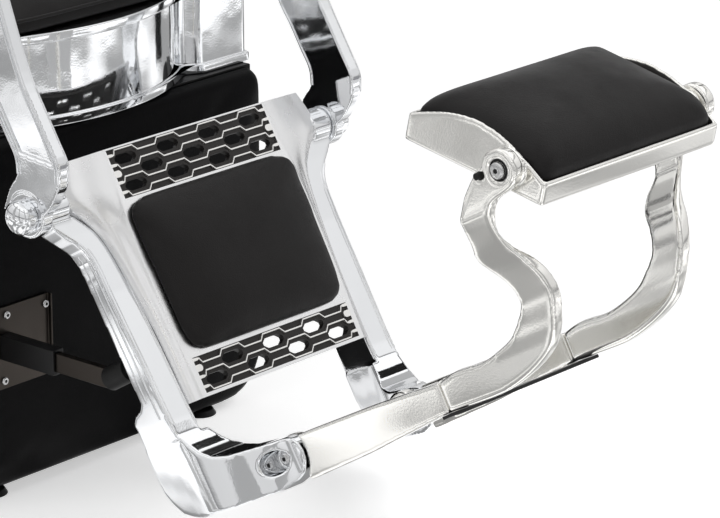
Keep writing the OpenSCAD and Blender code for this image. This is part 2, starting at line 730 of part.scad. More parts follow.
// Plan of the forward arm: rows of place between ear and rail, length share of v
arm_out_shares = [[1, -0.15], [1, 0], [0.96, 0.06], [0.84, 0.107], [0.66, 0.15],
    [0.48, 0.19], [0.325, 0.23], [0.15, 0.265], [0.04, 0.285], [0, 0.305], [0, 0.38]];
arm_in_shares = [[0, 0.38], [0, 0.28], [0.04, 0.24], [0.11, 0.19], [0.23, 0.135],
    [0.38, 0.1], [0.66, 0.0675], [0.93, 0.03], [1, 0], [1, -0.15]];
ear_t = 18.5;
bar_joggle = 2;
ear_out_x = bar_out_x + bar_joggle;
ear_in_x = ear_out_x - ear_t;
rail_low_x = rail_line(0.78 * leg_len);
function arm_plan() = concat(
    smooth([for (r = arm_out_shares)
        [ear_out_x + r[0] * (rail_low_x - ear_out_x), -r[1] * leg_len]], span_n),
    smooth([for (r = arm_in_shares)
        [ear_in_x + r[0] * (rail_low_x - rail_w - ear_in_x), -r[1] * leg_len]], span_n));
rail_split_share = 0.775;
ear_cb_r = foot_pin_dia + face_gap;
ear_cb = 5;
module rail_side() {
    color("silver") at_leg() difference() {
        union() {
            intersection() {
                along_x(0, arm_in_x) polygon([for (r = rail_side_shares) -r * leg_len]);
                along_front(rail_w, 2 * rail_w) polygon(rail_face());
                box(0, -leg_len / 2, -rail_split_share * leg_len, arm_in_x, leg_len,
                    leg_len);
            }
            intersection() {
                along_x(0, arm_in_x) polygon([for (r = rail_side_shares) -r * leg_len]);
                translate([0, 0, -2 * leg_len]) linear_extrude(2 * leg_len + over
                    - rail_split_share * leg_len) polygon(arm_plan());
            }
            rod_x(hub_in_x, hub_l, hub_r);
        }
        rod_x(hub_in_x - over, hub_l + 2 * over, hinge_pin_dia / 2 + run_fit);
        translate([0, -foot_v, -foot_u]) {
            rod_x(0, arm_in_x, foot_pin_dia / 2 + run_fit);
            rod_x(ear_out_x - ear_cb, rail_w, ear_cb_r);
        }
    }
}
module leg_rail_left() { other_side() rail_side(); }
module leg_rail_right() { rail_side(); }

// Plate: flat centre, raised folds and webs that reach back to the rails
fold_top_x = 176;
fold_low_x = 146;
web_t = 3;
fold_r = 2.6;
plate_back = plate_v - plate_t;
fold_turn = atan((fold_top_x - fold_low_x) / (plate_len + plate_up));
function fold_x(u) = fold_low_x
    + (fold_top_x - fold_low_x) * (plate_len - u) / (plate_len + plate_up);
// Rows of length share down the plate, reach share beyond the fold, depth share
web_shares = [[0, 1, 1], [0.08, 1.33, 0.9], [0.15, 1.4, 0.82], [0.22, 0.9, 0.2],
    [0.272, 0.58, 0], [0.32, 0.42, 0], [0.39, 0.33, 0], [0.52, 0.27, 0.02],
    [0.7, 0.25, 0.14], [1, 0.42, 0.3]];
web_reach = 35;
web_low_v = 15;
web_lap = 3;
module web_side() {
    rows = [for (r = web_shares)
        let (u = r[0] * (plate_len + plate_up) - plate_up, x = fold_x(u),
            v = web_low_v + r[2] * (plate_v - web_low_v))
        [[x - web_lap, -plate_v, -u], [x + r[1] * web_reach, -v, -u],
            [x + r[1] * web_reach, web_t - v, -u], [x - web_lap, web_t - plate_v, -u]]];
    m = len(rows);
    polyhedron([for (r = rows) each r], concat(
        [[3, 2, 1, 0], [4 * m - 4, 4 * m - 3, 4 * m - 2, 4 * m - 1]],
        [for (k = [0:m - 2]) for (i = [0:3]) let (j = (i + 1) % 4)
            each [[4 * k + i, 4 * k + 4 + j, 4 * k + 4 + i], [4 * k + i, 4 * k + j, 4 * k + 4 + j]]]));
}
grille_t = 3;
grille_sink = 2.5;
grille_edge = 4;
grille_base = 1.2;
grille_half_w = flat_half_w - grille_edge;
grille_fit = 0.2;
top_u = -plate_up + grille_edge / 2;
low_u = plate_len - grille_edge - grille_low_h;
row_n = 3;
function rows_in(h) = floor(h / row_step);
row_step = grille_top_h / (row_n + 0.6);
// Hole centres across and height of row j; the lowest row has the most holes
function centres(n, j) = let (c = floor(grille_half_w / hex_pitch),
    s = (n - 1 - j) % 2 == 0 ? 1 / 2 : 0)
    [for (i = [-c - 1:c]) let (x = (i + s) * hex_pitch)
        if (abs(x) + hex_l / 2 < grille_half_w) x];
function row_z(u0, h, j) = -u0 - h / 2 + ((rows_in(h) - 1) / 2 - j) * row_step;
// Hexagon holes of one grille whose top edge is at u0
module hex_holes(u0, h, depth, v0) {
    for (j = [0:rows_in(h) - 1]) for (x = centres(rows_in(h), j))
        along_front(-v0, depth) translate([x, row_z(u0, h, j)])
            polygon([[-hex_l / 2, 0], [(hex_h - hex_l) / 2, hex_h / 2],
                [(hex_l - hex_h) / 2, hex_h / 2], [hex_l / 2, 0],
                [(hex_l - hex_h) / 2, -hex_h / 2], [(hex_h - hex_l) / 2, -hex_h / 2]]);
}
// Rib above row j: a wave that rises over its holes and dips between them
rib_swing = row_step / 5;
rib_end = grille_half_w - grille_edge;
function swing(x, s) = let (d = abs(x - (round(x / hex_pitch - s) + s) * hex_pitch))
    rib_swing * max(-1, min(1, (hex_pitch - 4 * d) / hex_h));
function rib(u0, h, j) = let (z = row_z(u0, h, j) + row_step / 2,
    s = abs(rows_in(h) - 1 - j) % 2 == 0 ? 1 / 2 : 0, m = ceil(2 * rib_end / hex_pitch),
    xs = concat([-rib_end], [for (k = [-m:m]) for (q = [-1, 1])
        let (x = ((2 * k + 1) * hex_pitch + q * hex_h) / 4) if (abs(x) < rib_end) x], [rib_end]))
    [for (x = xs) [x, z + swing(x, s), rib_w]];
module grille(u0, h) {
    color([0.55, 0.55, 0.55]) at_leg() difference() {
        union() {
            along_front(grille_sink - plate_v, grille_base)
                translate([-grille_half_w + grille_fit, -u0 - h + grille_fit])
                    square([2 * (grille_half_w - grille_fit), h - 2 * grille_fit]);
            for (j = [0:rows_in(h)]) along_front(grille_sink - plate_v, grille_t)
                polygon(band_of(rib(u0, h, j)));
        }
        hex_holes(u0, h, 4 * grille_t, grille_t);
    }
}
module upper_grille() { grille(top_u, grille_top_h); }
module lower_grille() { grille(low_u, grille_low_h); }
module leg_plate() {
    color([0.8, 0.8, 0.82]) at_leg() difference() {
        union() {
            along_front(-plate_back, plate_t) polygon([[-fold_x(-plate_up), plate_up],
                [fold_x(-plate_up), plate_up], [fold_low_x, -plate_len],
                [-fold_low_x, -plate_len]]);
            web_side();
            mirror([1, 0, 0]) web_side();
            for (s = [-1, 1]) translate([s * fold_low_x, -plate_back - fold_r / 2, -plate_len])
                rotate([0, s * fold_turn, 0])
                    cylinder(h = (plate_len + plate_up) / cos(fold_turn), r = fold_r,
                        $fn = 24);
        }
        for (g = [[top_u, grille_top_h], [low_u, grille_low_h]])
            along_front(grille_sink - plate_v, 2 * grille_sink)
                translate([-grille_half_w, -g[0] - g[1]]) square([2 * grille_half_w, g[1]]);
        hex_holes(top_u, grille_top_h, 4 * grille_t, plate_v - 3 * grille_t);
        hex_holes(low_u, grille_low_h, 4 * grille_t, plate_v - 3 * grille_t);
    }
}
leg_pad_share = 0.22;
leg_pad_taper = 0.03;
module leg_pad() {
    color("black") at_leg()
        translate([0, -plate_v - soft_gap, -leg_pad_top - leg_pad_l / 2]) rotate([90, 0, 0])
            crowned(leg_pad_half_w, leg_pad_l / 2, leg_pad_crown, e = leg_pad_share,
                taper = leg_pad_taper);
}
ear_nut_t = 8;
ear_head_t = 7;
tongue_t = 16;
tongue_in_x = ear_in_x - face_gap - tongue_t;
module ear_bolt_side() {
    color("silver") at_leg() translate([0, -foot_v, -foot_u]) union() {
        rod_x(tongue_in_x - face_gap, ear_out_x - ear_cb - tongue_in_x + face_gap,
            foot_pin_dia / 2);
        translate([ear_out_x - ear_cb, 0, 0]) rotate([0, 90, 0])
            cylinder(h = ear_head_t, r = foot_pin_dia * 0.75, $fn = 6);
        translate([tongue_in_x - face_gap - ear_nut_t, 0, 0]) rotate([0, 90, 0])
            cylinder(h = ear_nut_t, r = foot_pin_dia * 0.8, $fn = 6);
    }
}
module ear_bolt_left() { other_side() ear_bolt_side(); }
module ear_bolt_right() { ear_bolt_side(); }

// Footrest bars: rows of length share, centre share, height share
bar_h = 55;
bar_shares = [[0.09, -0.11, 1], [0.13, -0.11, 1], [0.19, -0.1, 0.99], [0.48, -0.07, 0.93],
    [0.59, -0.05, 0.88], [0.8, -0.02, 0.77], [1, 0, 0.655]];
function bar_rows() = [for (r = bar_shares) [-r[0] * bar_l, r[1] * bar_h, r[2] * bar_h]];
ear_sweep_r = foot_pin_dia * 2.55;
tongue_r = 25;
tongue_l = 64;
bar_in_x = bar_out_x - bar_t;
module bar_piece() {
    color([0.85, 0.85, 0.86]) at_foot() difference() {
        union() {
            difference() {
                along_x(bar_in_x, bar_t) polygon(band_of(smooth(bar_rows(), 2)));
                rod_x(bar_in_x - over, bar_t + 2 * over, ear_sweep_r);
            }
            rod_x(tongue_in_x, tongue_t, tongue_r);
            box(tongue_in_x, -tongue_l, -tongue_r, tongue_t, tongue_l, tongue_r * 1.7);
        }
        rod_x(tongue_in_x - over, tongue_t + 2 * over, foot_pin_dia / 2 + run_fit);
        box(bar_in_x - over, -2 * bar_l, -bar_h, bar_t + 2 * over, bar_l, 2 * bar_h);
    }
}
module foot_bar_left() { other_side() bar_piece(); }
module foot_bar_right() { bar_piece(); }

// S-arms: outlines between the seam and the eye, rows of length share, height share
arm_s = eye_s - bar_l;
s_back_shares = [[0, 0.087], [0.125, 0.115], [0.29, 0.106], [0.457, 0.149], [0.54, 0.197],
    [0.633, 0.293], [0.66, 0.36], [0.656, 0.452], [0.62, 0.553], [0.613, 0.62],
    [0.656, 0.716], [0.69, 0.837], [0.72, 0.885], [0.77, 0.952], [0.84, 1.014],
    [0.9, 1.06]];
s_front_shares = [[0, -0.087], [0.164, -0.091], [0.35, -0.087], [0.54, -0.038],
    [0.68, 0.034], [0.754, 0.12], [0.81, 0.23], [0.84, 0.317], [0.848, 0.428],
    [0.828, 0.534], [0.8125, 0.625], [0.832, 0.75], [0.867, 0.827], [0.914, 0.865],
    [1, 0.88]];
function s_pt(r) = [-bar_l - r[0] * arm_s, r[1] * eye_t];
function s_side() = concat([for (r = smooth(s_back_shares, span_n)) s_pt(r)],
    flip([for (r = smooth(s_front_shares, span_n)) s_pt(r)]));
// Front view of an S-arm: rows of flare share, height share
flare_out_shares = [[0, -0.2], [0, 0.08], [0.05, 0.2], [0.1, 0.3], [0.17, 0.36],
    [0.29, 0.45], [0.455, 0.55], [0.62, 0.62], [0.82, 0.72], [0.97, 0.81], [1, 0.87],
    [1, 1.25]];
flare_in_shares = [[1, 1.25], [1, 0.75], [0.96, 0.7], [0.82, 0.65], [0.62, 0.59],
    [0.4, 0.53], [0.22, 0.44], [0.12, 0.36], [0.06, 0.28], [0.02, 0.18], [0, 0.08],
    [0, -0.2]];
function s_face() = concat(
    [for (r = smooth(flare_out_shares, 2))
        [bar_out_x + r[0] * (eye_out_x - bar_out_x), r[1] * eye_t]],
    [for (r = smooth(flare_in_shares, 2))
        [bar_in_x + r[0] * (eye_out_x - s_arm_t - bar_in_x), r[1] * eye_t]]);
eye_cb = 4;
eye_cb_r = eye_pin_dia * 1.3;
module s_arm_piece() {
    color([0.85, 0.85, 0.86]) at_foot() difference() {
        intersection() {
            union() {
                along_x(0, eye_out_x) polygon(s_side());
                translate([0, -eye_s, eye_t]) rod_x(0, eye_out_x, eye_r);
            }
            along_front(0, 2 * eye_s) polygon(s_face());
        }
        translate([0, -eye_s, eye_t]) {
            rod_x(0, eye_out_x + over, eye_pin_dia / 2 + run_fit);
            rod_x(eye_out_x - eye_cb, eye_cb + over, eye_cb_r);
        }
        translate([0, -stop_s, stop_t]) rod_x(0, eye_out_x + over, stop_r);
    }
}
module s_arm_left() { other_side() s_arm_piece(); }
module s_arm_right() { s_arm_piece(); }
// Rubber stop let into the shoulder of an S-arm
stop_back = 28;
stop_lift = 3;
stop_s = eye_s - stop_back;
stop_t = eye_t + stop_lift;
stop_r = 4;
stop_proud = 4;
module stop_piece() {
    color("black") at_foot() translate([0, -stop_s, stop_t])
        rod_x(eye_out_x - s_arm_t, s_arm_t + stop_proud, stop_r);
}
module rubber_stop_left() { other_side() stop_piece(); }
module rubber_stop_right() { stop_piece(); }
// Tread plate along the underside of bars and arms
tread_gap = 0.8;
tread_shares = [[0.955, -0.337], [1, -0.326]];
tread_arm_shares = [[0.045, -0.331], [0.1, -0.336]];
function tread_rows() = concat(
    [for (r = tread_shares) [-r[0] * bar_l, r[1] * bar_h - tread_gap - tread_t / 2, tread_t]],
    [for (r = tread_arm_shares)
        [-bar_l - r[0] * arm_s, r[1] * bar_h - tread_gap - tread_t / 2, tread_t]]);
module tread_plate() {
    color("black") at_foot() along_x(-bar_out_x, 2 * bar_out_x)
        polygon(band_of(smooth(tread_rows(), 2)));
}

// Footrest head
tray_l = tray_front + tray_rear;
tray_rise = 6;
function rim_z(y) = let (t = min(1, max(0, (y + tray_front) / tray_l)))
    strip_top + tray_rise * t + (arch_h - strip_h) * sin(180 * t);
arch_n = 16;
boss_t = eye_out_x - s_arm_t - face_gap - tray_half_w;
boss_r = 19;
module foot_tray() {
    color([0.85, 0.85, 0.86]) at_tray() difference() {
        union() {
            difference() {
                along_x(-tray_half_w, 2 * tray_half_w) polygon(concat(
                    [[tray_rear, -tray_low], [-tray_front, -tray_low]],
                    [for (i = [0:arch_n]) let (y = -tray_front + tray_l * i / arch_n)
                        [y, rim_z(y)]]));
                box(tray_wall - tray_half_w, tray_wall - tray_front, tray_wall - tray_low,
                    2 * (tray_half_w - tray_wall), tray_l - 2 * tray_wall, tray_l);
            }
            for (s = [-1, 1]) rod_x(s < 0 ? -tray_half_w - boss_t : tray_half_w - tray_wall,
                boss_t + tray_wall, boss_r);
        }
        rod_x(-eye_out_x, 2 * eye_out_x, eye_pin_dia / 2 + run_fit);
    }
}
pad_fit = tray_wall + soft_gap;
foot_pad_share = 0.09;
// Fills the tray to its rim at half its height and domes over it
foot_pad_side_shares = [[1, 0], [1, 0.5], [0.988, 0.62], [0.967, 0.715], [0.935, 0.8],
    [0.89, 0.865], [0.82, 0.915], [0.7, 0.955], [0.5, 0.98], [0.25, 0.995]];
module foot_pad() {
    color("black") at_tray()
        translate([0, (tray_rear - tray_front) / 2, tray_wall - tray_low + soft_gap])
            crowned(tray_half_w - pad_fit, tray_l / 2 - pad_fit, 2 * foot_crown,
                function (x, y) rim_z(y + (tray_rear - tray_front) / 2)
                    + tray_low - tray_wall - foot_crown, foot_pad_share,
                side_shares = foot_pad_side_shares);
}
eye_head_t = 5;
eye_head_r = eye_pin_dia * 0.95;
module eye_bolt_side() {
    color("silver") at_tray() union() {
        rod_x(tray_half_w - tray_wall, eye_out_x - eye_cb - tray_half_w + tray_wall,
            eye_pin_dia / 2);
        rod_x(eye_out_x - eye_cb, eye_head_t, eye_head_r);
    }
}
module eye_bolt_left() { other_side() eye_bolt_side(); }
module eye_bolt_right() { eye_bolt_side(); }

// Back
shell_low = 12;
module back_shell() {
    color("black") at_back() box(-back_w / 2, back_pad_t, -shell_low, back_w, shell_t,
        back_h + shell_low);
}
back_pad_low = 24;
module back_cushion() {
    color("black") at_back()
        translate([0, back_pad_t - soft_gap, (back_h + back_pad_low) / 2]) rotate([90, 0, 0])
            crowned(back_w / 2, (back_h - back_pad_low) / 2, back_pad_t);
}
function back_pt(y, z) = [plinth_front + back_y + y * cos(back_lean) + z * sin(back_lean),
    band_top + seat_board_t - y * sin(back_lean) + z * cos(back_lean)];
bracket_x = 150;
bracket_t = 10;
bracket_rise = 190;
module back_bracket_side() {
    low = back_pt(back_pad_t + shell_t, 0);
    high = back_pt(back_pad_t + shell_t, bracket_rise);
    color([0.15, 0.15, 0.15]) along_x(bracket_x, bracket_t) polygon([
        [low[0] - 2 * bracket_t, case_top], [high[0], case_top], high, low]);
}
module back_bracket_left() { other_side() back_bracket_side(); }
module back_bracket_right() { back_bracket_side(); }

// Basin on its tilt pin
basin_y = plinth_front + basin_place;
basin_z = cabinet_top + pin_rise;
module at_basin() {
    translate([0, basin_y, basin_z]) rotate([basin_tilt, 0, 0]) children();
}
bowl_y = 45;
waste_y = basin_y + bowl_y;
rim_y = bowl_y + 5;
bowl_foot_r = 62;
bowl_low = rim_rise - bowl_d - basin_wall;
basin_n = 56;
basin_corner_share = 0.42;
lug_x = 60;
lug_t = 22;
lug_r = 20;
bowl_in_r = bowl_r - basin_wall;
waste_r = 18;
tap_x = 172;
tap_y = 185;
tap_shank_r = 8;
bowl_curve_n = 10;
function bowl_curve(r0, r1, z0, z1) = [for (i = [0:bowl_curve_n])
    let (t = 90 * i / bowl_curve_n) [r0 + (r1 - r0) * sin(t), z0 + (z1 - z0) * (1 - cos(t))]];
module basin() {
    color("white") at_basin() difference() {
        union() {
            translate([0, rim_y, rim_rise - rim_h]) linear_extrude(rim_h)
                polygon(rounded(basin_w / 2, basin_l / 2, basin_corner_share, basin_n));
            translate([0, bowl_y, 0]) rotate_extrude($fn = 72) polygon(concat(
                [[0, bowl_low]], bowl_curve(bowl_foot_r, bowl_r, bowl_low, rim_rise - rim_h / 2),
                [[0, rim_rise - rim_h / 2]]));
            for (s = [-1, 1]) {
                rod_x(s < 0 ? -lug_x - lug_t : lug_x, lug_t, lug_r);
                box(s < 0 ? -lug_x - lug_t : lug_x, -lug_r, 0, lug_t, 2 * lug_r,
                    bowl_low + 2 * basin_wall);
            }
        }
        translate([0, bowl_y, 0]) rotate_extrude($fn = 72) polygon(concat(
            [[0, bowl_low + basin_wall]],
            bowl_curve(bowl_foot_r - basin_wall, bowl_in_r, bowl_low + basin_wall, rim_rise),
            [[bowl_in_r, rim_rise + over], [0, rim_rise + over]]));
        translate([0, bowl_y, bowl_low - over])
            cylinder(h = bowl_d, r = waste_r + run_fit, $fn = round_n);
        translate([0, rim_y - basin_l / 2 + basin_l / 4, rim_rise + neck_r / 3])
            rotate([90, 0, 0]) cylinder(h = basin_l, r = neck_r, $fn = round_n);
        rod_x(-basin_w / 2, basin_w, tilt_pin_dia / 2 + run_fit);
        translate([tap_x, tap_y, rim_rise - rim_h - over])
            cylinder(h = rim_h + 2 * over, r = tap_shank_r + run_fit, $fn = round_n);
    }
}
neck_t = 11;
neck_l = 44;
module neck_rest() {
    color([0.1, 0.1, 0.1]) at_basin()
        translate([0, rim_y - basin_l / 2, rim_rise + neck_r / 3]) rotate([-90, 0, 0])
            difference() {
                cylinder(h = neck_l, r = neck_r - soft_gap, $fn = round_n);
                translate([0, 0, -over])
                    cylinder(h = neck_l + 2 * over, r = neck_r - neck_t, $fn = round_n);
                translate([-neck_r, -neck_r, -over])
                    cube([2 * neck_r, neck_r + neck_r / 6, neck_l + 2 * over]);
            }
}
tail_l = 34;
strainer_t = 4;
module basin_waste() {
    color("silver") at_basin() translate([0, bowl_y, 0]) difference() {
        union() {
            translate([0, 0, bowl_low + basin_wall])
                cylinder(h = strainer_t, r = waste_r + strainer_t, $fn = round_n);
            translate([0, 0, bowl_low + basin_wall - tail_l])
                cylinder(h = tail_l, r = waste_r, $fn = round_n);
        }
        translate([0, 0, bowl_low + basin_wall - tail_l - over])
            cylinder(h = tail_l + strainer_t + 2 * over, r = waste_r - strainer_t,
                $fn = round_n);
    }
}
cheek_x = lug_x + lug_t + face_gap;
cheek_t = 12;
cheek_r = 22;
stand_w = 130;
stand_t = 8;
module basin_stand() {
    color([0.15, 0.15, 0.15]) difference() {
        union() {
            for (s = [-1, 1]) {
                x = s < 0 ? -cheek_x - cheek_t : cheek_x;
                box(x, basin_y - cheek_r, cabinet_top, cheek_t, 2 * cheek_r, pin_rise);
                translate([0, basin_y, basin_z]) rod_x(x, cheek_t, cheek_r);
            }
            box(-cheek_x - cheek_t, basin_y - stand_w / 2, cabinet_top,
                2 * (cheek_x + cheek_t), stand_w, stand_t);
        }
        translate([0, basin_y, basin_z])
            rod_x(-basin_w / 2, basin_w, tilt_pin_dia / 2 + run_fit);
        translate([0, waste_y, cabinet_top - over])
            cylinder(h = stand_t + 2 * over, r = waste_dia / 2 + waste_fit, $fn = round_n);
    }
}
pin_head_t = 5;
module tilt_pin() {
    color("silver") translate([0, basin_y, basin_z]) union() {
        rod_x(-cheek_x - cheek_t, 2 * (cheek_x + cheek_t), tilt_pin_dia / 2);
        rod_x(cheek_x + cheek_t, pin_head_t, tilt_pin_dia * 0.8);
        rod_x(-cheek_x - cheek_t - pin_head_t, pin_head_t, tilt_pin_dia * 0.8);
    }
}
// Mixer on the corner of the rim
tap_base_share = 0.55;
neck_share = 0.6;
tap_nut_t = 10;
tap_stub_r = 7;
tap_stub_h = 8;
module at_tap() {
    at_basin() translate([tap_x, tap_y, rim_rise]) children();
}
module tap_body() {
    color("silver") at_tap() union() {
        cylinder(h = tap_h * tap_base_share, r = tap_dia / 2, $fn = round_n);
        cylinder(h = tap_h, r = tap_dia / 2 * neck_share, $fn = round_n);
        cylinder(h = tap_h + tap_stub_h, r = tap_stub_r, $fn = round_n);
        translate([0, 0, -rim_h - tap_nut_t])
            cylinder(h = rim_h + tap_nut_t, r = tap_shank_r, $fn = round_n);
    }
}
spout_h = tap_h * (1 - tap_base_share) - 2 * face_gap;
spout_r = 10;
spout_turn = atan2(bowl_y - tap_y, -tap_x);
module tap_spout() {
    color("silver") at_tap() rotate([0, 0, spout_turn])
        translate([0, 0, tap_h * tap_base_share + face_gap]) difference() {
            union() {
                cylinder(h = spout_h, r = tap_dia / 2, $fn = round_n);
                translate([0, 0, spout_h / 2]) rotate([0, 90, 0])
                    cylinder(h = spout_l, r = spout_r, $fn = round_n);
                translate([spout_l, 0, spout_h / 2]) sphere(r = spout_r, $fn = round_n);
                translate([spout_l, 0, -spout_r]) cylinder(h = spout_r + spout_h / 2,
                    r = spout_r, $fn = round_n);
            }
            translate([0, 0, -over]) cylinder(h = spout_h + 2 * over,
                r = tap_dia / 2 * neck_share + run_fit, $fn = round_n);
            translate([spout_l, 0, -spout_r - over])
                cylinder(h = spout_r + over, r = spout_r / 2, $fn = round_n);
        }
}
lever_t = 12;
lever_l = 74;
lever_r = 5;
module tap_lever() {
    color("silver") at_tap() translate([0, 0, tap_h + face_gap]) difference() {
        union() {
            cylinder(h = lever_t, r = tap_dia / 2 * 0.9, $fn = round_n);
            translate([0, 0, lever_t / 2]) rotate([-80, 0, 0])
                cylinder(h = lever_l, r = lever_r, $fn = round_n);
        }
        translate([0, 0, -over])
            cylinder(h = tap_stub_h + over, r = tap_stub_r + run_fit, $fn = round_n);
    }
}

plinth_case();
plinth_panel();
plinth_feet();
rear_cabinet();
cabinet_door();
door_knob();
door_pin();
waste_pipe();
stop_bracket();
stop_sleeve();
stop_bar();
stop_buffer();
bracket_bolts();
seat_band();
seat_board();
seat_cushion();
arm_frame_left();
arm_frame_right();
arm_pad_left();
arm_pad_right();
hinge_pin_left();
hinge_pin_right();
back_shell();
back_cushion();
back_bracket_left();
back_bracket_right();
basin_stand();
basin();
neck_rest();
basin_waste();
tilt_pin();
tap_body();
tap_spout();
tap_lever();
leg_rail_left();
leg_rail_right();
leg_plate();
upper_grille();
lower_grille();
leg_pad();
ear_bolt_left();
ear_bolt_right();
foot_bar_left();
foot_bar_right();
s_arm_left();
s_arm_right();
tread_plate();
rubber_stop_left();
rubber_stop_right();
foot_tray();
foot_pad();
eye_bolt_left();
eye_bolt_right();
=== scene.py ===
"""Looks of the backwash unit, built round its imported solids. Millimetres in the makers, metres in the meshes."""
import json
import math

import bmesh
import bpy
from mathutils import Matrix, Vector


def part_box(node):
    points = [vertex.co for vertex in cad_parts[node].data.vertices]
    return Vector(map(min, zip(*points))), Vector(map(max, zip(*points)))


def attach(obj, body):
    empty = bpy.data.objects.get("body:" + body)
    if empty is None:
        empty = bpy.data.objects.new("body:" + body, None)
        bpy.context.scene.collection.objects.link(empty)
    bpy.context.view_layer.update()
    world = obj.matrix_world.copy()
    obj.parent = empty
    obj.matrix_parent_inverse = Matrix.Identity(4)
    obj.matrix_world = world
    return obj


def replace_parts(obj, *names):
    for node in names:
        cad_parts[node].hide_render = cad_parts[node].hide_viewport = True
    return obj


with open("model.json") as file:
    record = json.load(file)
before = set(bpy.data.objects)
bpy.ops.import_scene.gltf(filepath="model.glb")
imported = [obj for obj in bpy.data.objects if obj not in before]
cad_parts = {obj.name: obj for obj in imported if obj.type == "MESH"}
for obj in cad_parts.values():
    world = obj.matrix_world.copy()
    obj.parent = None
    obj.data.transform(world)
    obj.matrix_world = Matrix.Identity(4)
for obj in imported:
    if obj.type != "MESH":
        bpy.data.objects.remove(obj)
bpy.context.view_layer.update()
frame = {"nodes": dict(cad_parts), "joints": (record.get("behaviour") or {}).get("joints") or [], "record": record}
NODES = frame["nodes"]
JOINTS = {joint["name"]: joint for joint in frame["joints"]}
MM = 0.001
SIDES = {"left": -1, "right": 1}

# Places: each moving part has its own frame, named as in the model
LEG_LEAN = 31
BAR_LEAN = 29
TRAY_LEAN = 11.5
BACK_LEAN = 20
BASIN_LEAN = 8
LEG_LENGTH = 400
RAIL_OUT, RAIL_WIDE, RAIL_TAPER = 211, 41, 0.034
BACK_SET, BACK_RISE = 440, 592


def local_frame(origin, lean):
    return Matrix.Translation(origin) @ Matrix.Rotation(math.radians(lean), 4, "X")


LEG = local_frame(JOINTS["leg_lift"]["pos_m"], -LEG_LEAN)
FOOT = local_frame(JOINTS["foot_fold"]["pos_m"], -BAR_LEAN)
TRAY = local_frame(JOINTS["foot_flip"]["pos_m"], TRAY_LEAN)
BASIN = local_frame(JOINTS["basin_tilt"]["pos_m"], BASIN_LEAN)
ROW = Matrix.Identity(4)
PLINTH_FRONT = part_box("plinth_case")[0].y / MM
BACK = local_frame((0, (PLINTH_FRONT + BACK_SET) * MM, BACK_RISE * MM), -BACK_LEAN)
PLACE_OF = {"leg_rest": LEG, "foot_frame": FOOT, "foot_head": TRAY, "basin_unit": BASIN}


def leg(x, u, v):
    """Point of the leg rest: across, down the leg from the hinge, in front of it."""
    return Vector((x, -v, -u))


# Makers
def finish_mesh(name, bm, body, slot, place=ROW, smooth=35):
    """Makes a piece of a bmesh drawn in millimetres in a local frame, and lets it ride on a body."""
    bmesh.ops.recalc_face_normals(bm, faces=bm.faces)
    mesh = bpy.data.meshes.new(name)
    bm.to_mesh(mesh)
    bm.free()
    mesh.transform(place @ Matrix.Scale(MM, 4))
    return finish_piece(name, mesh, body, slot, smooth)


def finish_piece(name, mesh, body, slot, smooth=35):
    """Gives a mesh its shading, its material and its body. Edges sharper than smooth, in degrees, stay sharp."""
    mesh.shade_smooth()
    mesh.set_sharp_from_angle(angle=math.radians(smooth))
    mesh.materials.clear()
    mesh.materials.append(FINISHES[slot])
    piece = bpy.data.objects.new(name, mesh)
    bpy.context.scene.collection.objects.link(piece)
    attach(piece, body)
    SLOT_FOR.get(slot, slot)
    return piece


def set_all(thing, settings):
    for key, value in settings.items():
        setattr(thing, key, value)


def evaluated(name, mesh, *steps):
    """The mesh after live modifiers, each given as kind and settings."""
    holder = bpy.data.objects.new(name, mesh)
    bpy.context.scene.collection.objects.link(holder)
    for kind, settings in steps:
        set_all(holder.modifiers.new(kind, kind), settings)
    bpy.context.view_layer.update()
    done = bpy.data.meshes.new_from_object(holder.evaluated_get(bpy.context.evaluated_depsgraph_get()))
    bpy.data.objects.remove(holder)
    return done


def node_copy(node, place, flat=False):
    """A welded copy of a solid's mesh in its local frame, in millimetres."""
    mesh = NODES[node].data.copy()
    mesh.transform(Matrix.Scale(1 / MM, 4) @ place.inverted())
    bm = bmesh.new()
    bm.from_mesh(mesh)
    bmesh.ops.remove_doubles(bm, verts=bm.verts, dist=0.01)
    if flat:
        bmesh.ops.dissolve_limit(bm, angle_limit=math.radians(1), verts=bm.verts, edges=bm.edges)
    bm.to_mesh(mesh)
    bm.free()
    return mesh


def cast(node, body, slot, grain=2.0, rounds=6):
    """A cast and polished twin of a solid: its edges run over in small radii."""
    place = PLACE_OF.get(body, ROW)
    mesh = evaluated(node + "_cast", node_copy(node, place),
        ("REMESH", {"mode": "VOXEL", "voxel_size": grain, "use_smooth_shade": True}),
        ("SMOOTH", {"factor": 0.5, "iterations": rounds}))
    mesh.transform(place @ Matrix.Scale(MM, 4))
    piece = finish_piece(node + "_cast", mesh, body, slot, 180)
    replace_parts(piece, node)
    return piece


def crisp(node, body, slot, width=1.0):
    """A machined twin of a solid: every sharp edge is broken by a small round."""
    place = PLACE_OF.get(body, ROW)
    mesh = evaluated(node + "_crisp", node_copy(node, place, True),
        ("BEVEL", {"width": width, "segments": 3, "limit_method": "ANGLE", "angle_limit": math.radians(32),
            "harden_normals": False, "use_clamp_overlap": True}))
    mesh.transform(place @ Matrix.Scale(MM, 4))
    piece = finish_piece(node + "_crisp", mesh, body, slot, 32)
    set_all(piece.modifiers.new("faces", "WEIGHTED_NORMAL"), {"keep_sharp": True, "weight": 70})
    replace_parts(piece, node)
    return piece


def cutter(bm):
    """A tool that is taken out of the next shape, then thrown away."""
    bmesh.ops.recalc_face_normals(bm, faces=bm.faces)
    mesh = bpy.data.meshes.new("cutter")
    bm.to_mesh(mesh)
    bm.free()
    holder = bpy.data.objects.new("cutter", mesh)
    bpy.context.scene.collection.objects.link(holder)
    return holder


def ring_edges(bm, points):
    """A closed ring of edges through points."""
    verts = [bm.verts.new(p) for p in points]
    return [bm.edges.new((verts[i - 1], verts[i])) for i in range(len(verts))]


